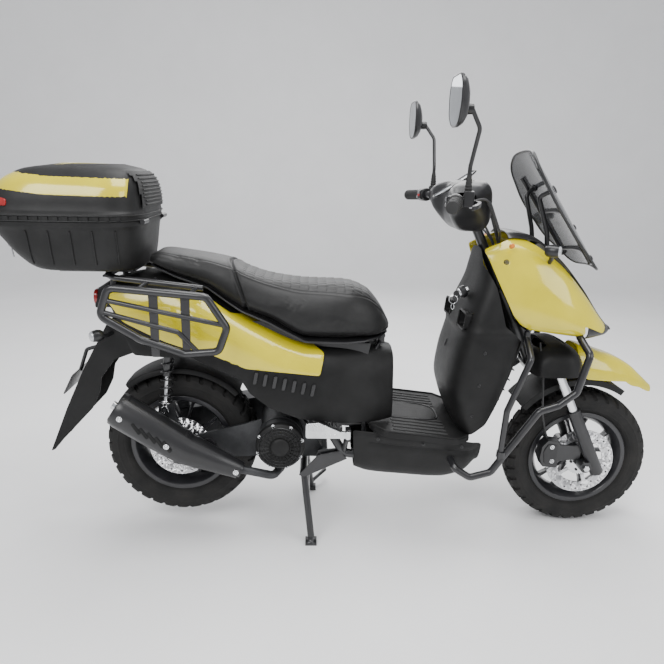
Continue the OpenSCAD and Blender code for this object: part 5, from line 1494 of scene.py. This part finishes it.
# profile heights run along +Y here, so the cover's outer face is the lowest height
louvres = []
for i in range(engine["louvres"]):
    a = 2 * math.pi * i / engine["louvres"]
    d, w = np.array([math.cos(a), 0, math.sin(a)]), np.array([-math.sin(a), 0, math.cos(a)])
    points = [fan + d * r + w * s * k + (0, y, 0) for r, k in ((34, 2.2), (62, 4.2)) for s,
        y in ((-1, -120), (1, -124), (1, -118))]
    louvres.append((points, [(0, 1, 2), (5, 4, 3), (0, 3, 4, 1), (1, 4, 5, 2), (2, 5, 3, 0)]))
fanHub = lathe([(0, -127), (22, -126), (29, -122), (31, -118), (31, -112), (0, -112)], fan, (0, 1, 0), 48)
rims = [lathe([(r, -121), (r + 1.5, -123.5), (r + 3, -121)], fan, (0, 1, 0), 72) for r in (44, 54, 63)]
caseBolts = [screw(fan + (69 * math.cos(a), -112, 69 * math.sin(a)), (0, -1, 0),
    7) for a in np.arange(engine["caseBolts"]) * 2 * math.pi / engine["caseBolts"] + 0.3]
fins = []
barrelFrom, barrelTo = np.array([362, 0, 352.0]), np.array([498, 0, 399.6])
barrelAxis = unit(barrelTo - barrelFrom)
for i in range(engine["fins"]):
    at = barrelFrom + (barrelTo - barrelFrom) * (0.16 + 0.09 * i)
    fin = slab(roundOutline([(-52, -56), (52, -56), (52, 56), (-52, 56)], 16), -1.2, 1.2, "xy")
    fins.append(seated(fin, at, barrelAxis))
plug = [lathe([(0, 0), (8, 0), (8, 10), (5, 12), (5, 24), (8, 26), (8, 40), (0, 42)], (470, -46, 388),
    (0.1, -1, 0.2), 24)]
plugLead = sweep(roundPath([(474, -84, 396), (470, -104, 420), (420, -96, 470), (360, -70, 500)], 30),
    3.6, 12)
beltCover = slab(roundOutline([(326, 262), (398, 300), (398, 380), (330, 410), (20, 355), (-54, 330),
    (-60, 262), (0, 226)], 40, 6), 165, 168)
beltRib = [sweep([(40 + 34 * i, 168, 252 + i * 1.5) for i in range(8)], 2.5, 8),
    sweep(roundPath([(0, 168.5, 340), (322, 168.5, 398), (382, 168.5, 340), (322, 168.5, 276),
    (0, 168.5, 238)], 40), 2.6, 8)]
beltBolts = [screw((x, 167.5, z), (0, 1, 0), 7) for x,
    z in ((20, 345), (150, 368), (300, 400), (388, 340), (300, 268), (150, 246), (20, 234))]
makePiece("fan_cover", [(fanRing, "blackMatte"), (louvres, "blackMatte"), (fanHub, "blackMatte"),
    (rims, "blackSatin"), (caseBolts, "brightAlloy")], "swing_unit", bevel=0.5)
makePiece("barrel_fins", [(fins, "castAlloy"), (plug, "gripRubber"), (plugLead, "cableSheath")],
    "swing_unit", bevel=0.5)
makePiece("belt_cover", [(beltCover, "castAlloy"), (beltRib, "castAlloy"), (beltBolts, "brightAlloy")],
    "swing_unit", bevel=1.2)
dress("swing_arm", "darkCast", 1.4)
nut = [lathe([(0, -92), (11, -92), (11, -104), (8, -106), (0, -106)], rearHub, (0, 1, 0), 6),
    lathe([(0, -92), (16, -92), (16, -94.5), (0, -94.5)], rearHub, (0, 1, 0), 32)]
calliper = slab(roundOutline([(66, 250), (112, 262), (118, 310), (96, 332), (58, 316)], 10), -98, -54)
calPads = slab(roundOutline([(74, 264), (104, 272), (108, 304), (92, 318), (70, 306)], 7), -101, -97)
makePiece("rear_brake_details", [(nut, "brightAlloy"), (calliper, "blackPaint"), (calPads, "blackSatin"),
    ([screw((x, -100, z), (0, -1, 0), 7) for x, z in ((84, 276), (94, 304))], "brightAlloy")],
    "swing_unit", bevel=1.2)

exhaust = {"from": (40, -160, 325), "to": (-165, -160, 462), "radius": 50,
    "bolts": [(-119, -213, 462), (-22, -213, 398), (196, -187, 270)], }
p = exhaust
canFrom, canTo = np.array(p["from"], float), np.array(p["to"], float)
canAxis = unit(canTo - canFrom)
canLength = np.linalg.norm(canTo - canFrom)
can = lathe([(0, -4), (36, -4), (46, 4), (50, 16), (50, canLength - 8), (49, canLength - 3),
    (45, canLength), (42, canLength - 2), (42, canLength - 14), (0, canLength - 14)], canFrom, canAxis,
    72)
tailPipe = lathe([(10, canLength - 34), (10, canLength + 10), (13, canLength + 12), (13, canLength - 34)],
    canFrom, canAxis, 36, closed=True)
band = [lathe([(50, z), (51.6, z + 1), (51.6, z + 9), (50, z + 10)], canFrom, canAxis, 72) for z in (22,
    canLength - 24)]
coneFrom = np.array([196, -160, 257.0])
coneAxis = unit(canFrom - coneFrom)
coneLength = np.linalg.norm(canFrom - coneFrom)
cone = lathe([(24, -8), (26, 0), (28, 20), (38, coneLength * 0.55), (46, coneLength * 0.86),
    (47, coneLength + 10)], coneFrom, coneAxis, 64)
pipe = sweep(roundPath([(190, -160, 258.2), (300, -160, 234), (322, -105, 232), (322, -60, 232),
    (322, -60, 268)], 24), 13, 24)
flange = lathe([(13, -6), (24, -6), (24, 0), (13, 0)], (322, -60, 263), (0, 0, 1), 32)


# The heat shield: a faceted plate that wraps the can's outer face, from the cone to the tail
def heatShield():
    rows = []
    line = [(coneFrom, 30), (coneFrom + coneAxis * coneLength * 0.5, 40), (canFrom + canAxis * 4, 52),
        (canFrom + canAxis * canLength * 0.5, 56), (canFrom + canAxis * (canLength - 22), 56),
        (canFrom + canAxis * (canLength - 4), 53)]
    for at, r in line:
        d = canAxis if at[0] < 40 else coneAxis
        up = unit(np.array([-d[2], 0, d[0]]) * np.sign(d[0]) * -1)
        rows.append([at + np.array([0, -1, 0]) * r * math.cos(a) + up * r * math.sin(a) * -1
            for a in np.radians([-62, -48, -30, -10, 10, 30, 48, 62])])
    n = len(rows[0])
    return [q for row in rows for q in row], [(j * n + i, j * n + i + 1, (j + 1) * n + i + 1,
        (j + 1) * n + i) for j in range(len(rows) - 1) for i in range(n - 1)]


# Dark matte oblongs on the heat shield stand in for its slots: painted shade of the openings, over the can's
# own black
slots = []
for i in range(5):
    at = canFrom + canAxis * (58 + 26 * i) + np.array([0, -56.4, 0])
    slots.append(seated(slab(roundOutline([(-5, -20), (5, -20), (5, 20), (-5, 20)], 4.9), -0.4, 0.9,
        "xy"), at, (0, -1, 0), 32))
shieldBolts = []
for at, r in ((canFrom + canAxis * (canLength - 30), 57), (canFrom + canAxis * 60, 57),
              (coneFrom + coneAxis * 8, 31)):
    shieldBolts.append(screw(at + np.array([0, -r, 0]), (0, -1, 0), 9))
makePiece("exhaust_can", [(can, "blackSatin"), (band, "blackSatin"), (tailPipe, "brightAlloy"),
    (cone, "blackSatin"), (pipe, "darkCast"), (flange, "castAlloy"),
    (lathe([(0, -130), (14, -130), (14, -92), (0, -92)], (20, 0, 338), (0, 1, 0), 32), "blackPaint")],
    "swing_unit", ["muffler"], smooth=36)
makePiece("exhaust_heat_shield", [(heatShield(), "blackSatin")], "swing_unit", bevel=1.2,
    thick=2.2, smooth=20)
# The slots go in as blackMatte patches, painted shade where the shield would be cut open
makePiece("exhaust_bolts", [(shieldBolts, "chrome"), (slots, "blackMatte")], "swing_unit",
    bevel=0.4)

hugger = {"arcFrom": 44, "arcTo": 128}
huggerPoints, huggerFaces = [], []
arcAngles = np.radians(np.linspace(hugger["arcFrom"], hugger["arcTo"], 57))
section = [(246, -72), (258, -72), (263, -68), (266, -40), (266, 40), (263, 68), (258, 72), (246, 72),
    (246, 69.5), (257, 69.5), (261, 66), (263, 40), (263, -40), (261, -66), (257, -69.5), (246, -69.5)]
for i, a in enumerate(arcAngles):
    for r, y in section:
        huggerPoints.append((r * math.cos(a), y, 289.5 + r * math.sin(a)))
k = len(section)
huggerFaces = [(i * k + m, i * k + (m + 1) % k, (i + 1) * k + (m + 1) % k,
    (i + 1) * k + m) for i in range(len(arcAngles) - 1) for m in range(k)]
huggerFaces += [tuple(range(k)), tuple(reversed(range((len(arcAngles) - 1) * k, len(arcAngles) * k)))]
hangers = [slab([(-56, 415), (-14, 415), (-6, 545), (-66, 540)], 72, 75.5),
    slab([(-56, 415), (-14, 415), (-14, 446), (-56, 446)], 75, 79.9)]
makePiece("rear_hugger_guard", [((huggerPoints, huggerFaces), "blackMatte"), (hangers, "blackMatte")],
    "swing_unit", ["rear_hugger"], bevel=0.9, smooth=40)
print("engine and exhaust done")

# Shocks
shockTop, shockLow = np.array([-8, 0, 690.0]), np.array([-35, 0, 430.0])
shockAxis = unit(shockLow - shockTop)
caps, lowCaps = [], []
for y in (103, -103):
    top = shockTop + (0, y, 0)
    caps.append(lathe([(6.2, 8), (14, 9), (15, 16), (21.5, 18), (21.5, 23.5), (12.4, 24), (12, 26),
        (12, 150), (6.2, 150)], top, shockAxis, 48))
    caps.append(lathe([(6.1, -10), (13, -10), (13, 10), (6.1, 10)], top, (0, 1, 0), 40, closed=True))
    lowCaps.append(screw(top + np.array([0, math.copysign(10, y), 0]), (0, y, 0), 9))
makePiece("shock_upper_body", [(caps, "blackPaint"), (lowCaps, "chrome")], "shock_upper",
    ["shock_bodies"], smooth=36)
# The springs shorten with the slide, so they stay the frame's own node
dress("shock_springs", "springPaint", 0)
dress("shock_rods", "chrome", 0)

# Stands, pegs and kick starter
dress("centre_stand", "blackPaint", 0)
dress("side_stand", "blackPaint", 0)
body = slab(roundOutline([(400, 380), (400, 426), (440, 430), (505, 400), (530, 399), (530, 379),
    (510, 379)], 7), 190, 202)
ridges = [slab(roundOutline([(408 + 8 * i, 404), (413 + 8 * i, 404), (413 + 8 * i, 423),
    (408 + 8 * i, 423)], 2), 201, 204.5) for i in range(7)]
barrel = lathe([(4.2, 376.3), (9, 376.3), (9, 401.7), (4.2, 401.7)], (527, 196, 0), (0, 0, 1), 32,
    closed=True)
groove = [slab(roundOutline([(455 + 14 * i, 386), (463 + 14 * i, 386), (463 + 14 * i, 394),
    (455 + 14 * i, 394)], 3), 201, 203) for i in range(3)]
leftPeg = [body, barrel] + ridges + groove
makePiece("peg_left_casting", [(leftPeg, "brightAlloy")], "foot_peg_left", ["peg_left"],
    bevel=1.1)
makePiece("peg_right_casting", [([mirrored(s) for s in leftPeg], "brightAlloy")], "foot_peg_right",
    ["peg_right"], bevel=1.1)
dress("kick_lever", "castAlloy", 0.8)
kickRubber = lathe([(8.2, 24), (11, 25), (11, 46), (10, 48), (0, 48)], (72, 174, 372), (0, 1, 0), 28)
makePiece("kick_pedal_rubber", [(kickRubber, "gripRubber")], "kick", smooth=36)
print("shocks, stands and pegs done")

# Small parts: screws, clips and the orange plug by the lock
trim = []
for s in (1, -1):
    for x, z in ((928, 640), (918, 540), (905, 440)):
        share = shareAt(shieldForm, np.array([x]), np.array([z]))
        at = formPoint(shieldForm, np.array([z]), share, 0)[0]
        trim.append(screw((at[0], s * (at[1] - 0.5), at[2]), (0.15, s, 0), 6))
frameClips = [lathe([(0, 0), (7, 0), (7, 10), (5, 12), (0, 12)], (988, s * 128, 952), (0, s, 0.3),
    24) for s in (1, -1)]
makePiece("panel_screws", [(trim, "blackSatin")], "chassis", smooth=34)
makePiece("panel_clips", [(frameClips, "orangePart")], "chassis", smooth=34)
left = [n for n, o in nodes.items() if not o.hide_render and not any(m and m.name in finishes
    for m in o.data.materials)]
print("nodes without a finish:", left)

# Studio: floor, lights and camera
studio = {"floorSize": 9, "sweepRise": 3.2, "skyStrength": 0.62, "skyShade": (0.95, 0.96, 1.0)}
floorMesh = bpy.data.meshes.new("studio_floor")
s = studio["floorSize"]
profile = [(-s, 0)] + [(s * 0.45 + 1.2 * math.sin(a), 1.2 - 1.2 * math.cos(a)) for a in np.linspace(0,
    math.pi / 2, 10)] + [(s * 0.45 + 1.2, s)]
verts = [(x, y, z) for x in (-s, s) for y, z in profile]
n = len(profile)
floorMesh.from_pydata(verts, [], [(i, i + 1, n + i + 1, n + i) for i in range(n - 1)])
floorMesh.materials.append(materials["studioFloor"])
floorMesh.shade_smooth()
floor = bpy.data.objects.new("studio_floor", floorMesh)
bpy.context.scene.collection.objects.link(floor)

world = bpy.data.worlds.new("studio")
bpy.context.scene.world = world
world.use_nodes = True
world.node_tree.nodes["Background"].inputs["Color"].default_value = (*studio["skyShade"], 1)
world.node_tree.nodes["Background"].inputs["Strength"].default_value = studio["skyStrength"]

softBoxes = {"key": dict(at=(-1.6, -2.6, 3.0), aim=(0, 0, 0.6), size=(2.2, 1.6), power=90),
    "fill": dict(at=(2.8, -2.2, 1.9), aim=(0.3, 0, 0.6), size=(1.8, 1.6), power=40),
    "top": dict(at=(0.2, 0.1, 3.6), aim=(0, 0, 0.5), size=(3.2, 1.8), power=130),
    "back": dict(at=(0.4, 2.8, 2.4), aim=(0, 0, 0.6), size=(2.8, 1.4), power=45), }
for name, box in softBoxes.items():
    light = bpy.data.lights.new("softbox_" + name, "AREA")
    light.shape, light.size, light.size_y, light.energy = "RECTANGLE", *box["size"], box["power"]
    lamp = bpy.data.objects.new("softbox_" + name, light)
    lamp.location = box["at"]
    lamp.rotation_euler = (Vector(box["aim"]) - Vector(box["at"])).to_track_quat("-Z", "Y").to_euler()
    bpy.context.scene.collection.objects.link(lamp)

view = {"at": (405, -1834, 1163), "yaw": 2.35, "pitch": 15.48, "roll": 1.22, "lens": 32.35}
yaw, pitch, roll = (math.radians(view[k]) for k in ("yaw", "pitch", "roll"))
ahead = Vector((math.sin(yaw) * math.cos(pitch), math.cos(yaw) * math.cos(pitch), -math.sin(pitch)))
level = Vector((math.cos(yaw), -math.sin(yaw), 0))
upward = level.cross(ahead)
right = level * math.cos(roll) + upward * math.sin(roll)
above = upward * math.cos(roll) - level * math.sin(roll)
camera = bpy.data.objects.new("camera", bpy.data.cameras.new("camera"))
camera.data.lens, camera.data.sensor_width = view["lens"], 36
turned = [[right[i], above[i], -ahead[i]] for i in range(3)]
camera.rotation_mode = "QUATERNION"
camera.rotation_quaternion = Matrix(turned).to_quaternion()
camera.location = metres([view["at"]])[0]
bpy.context.scene.collection.objects.link(camera)
bpy.context.scene.camera = camera

print("studio done")
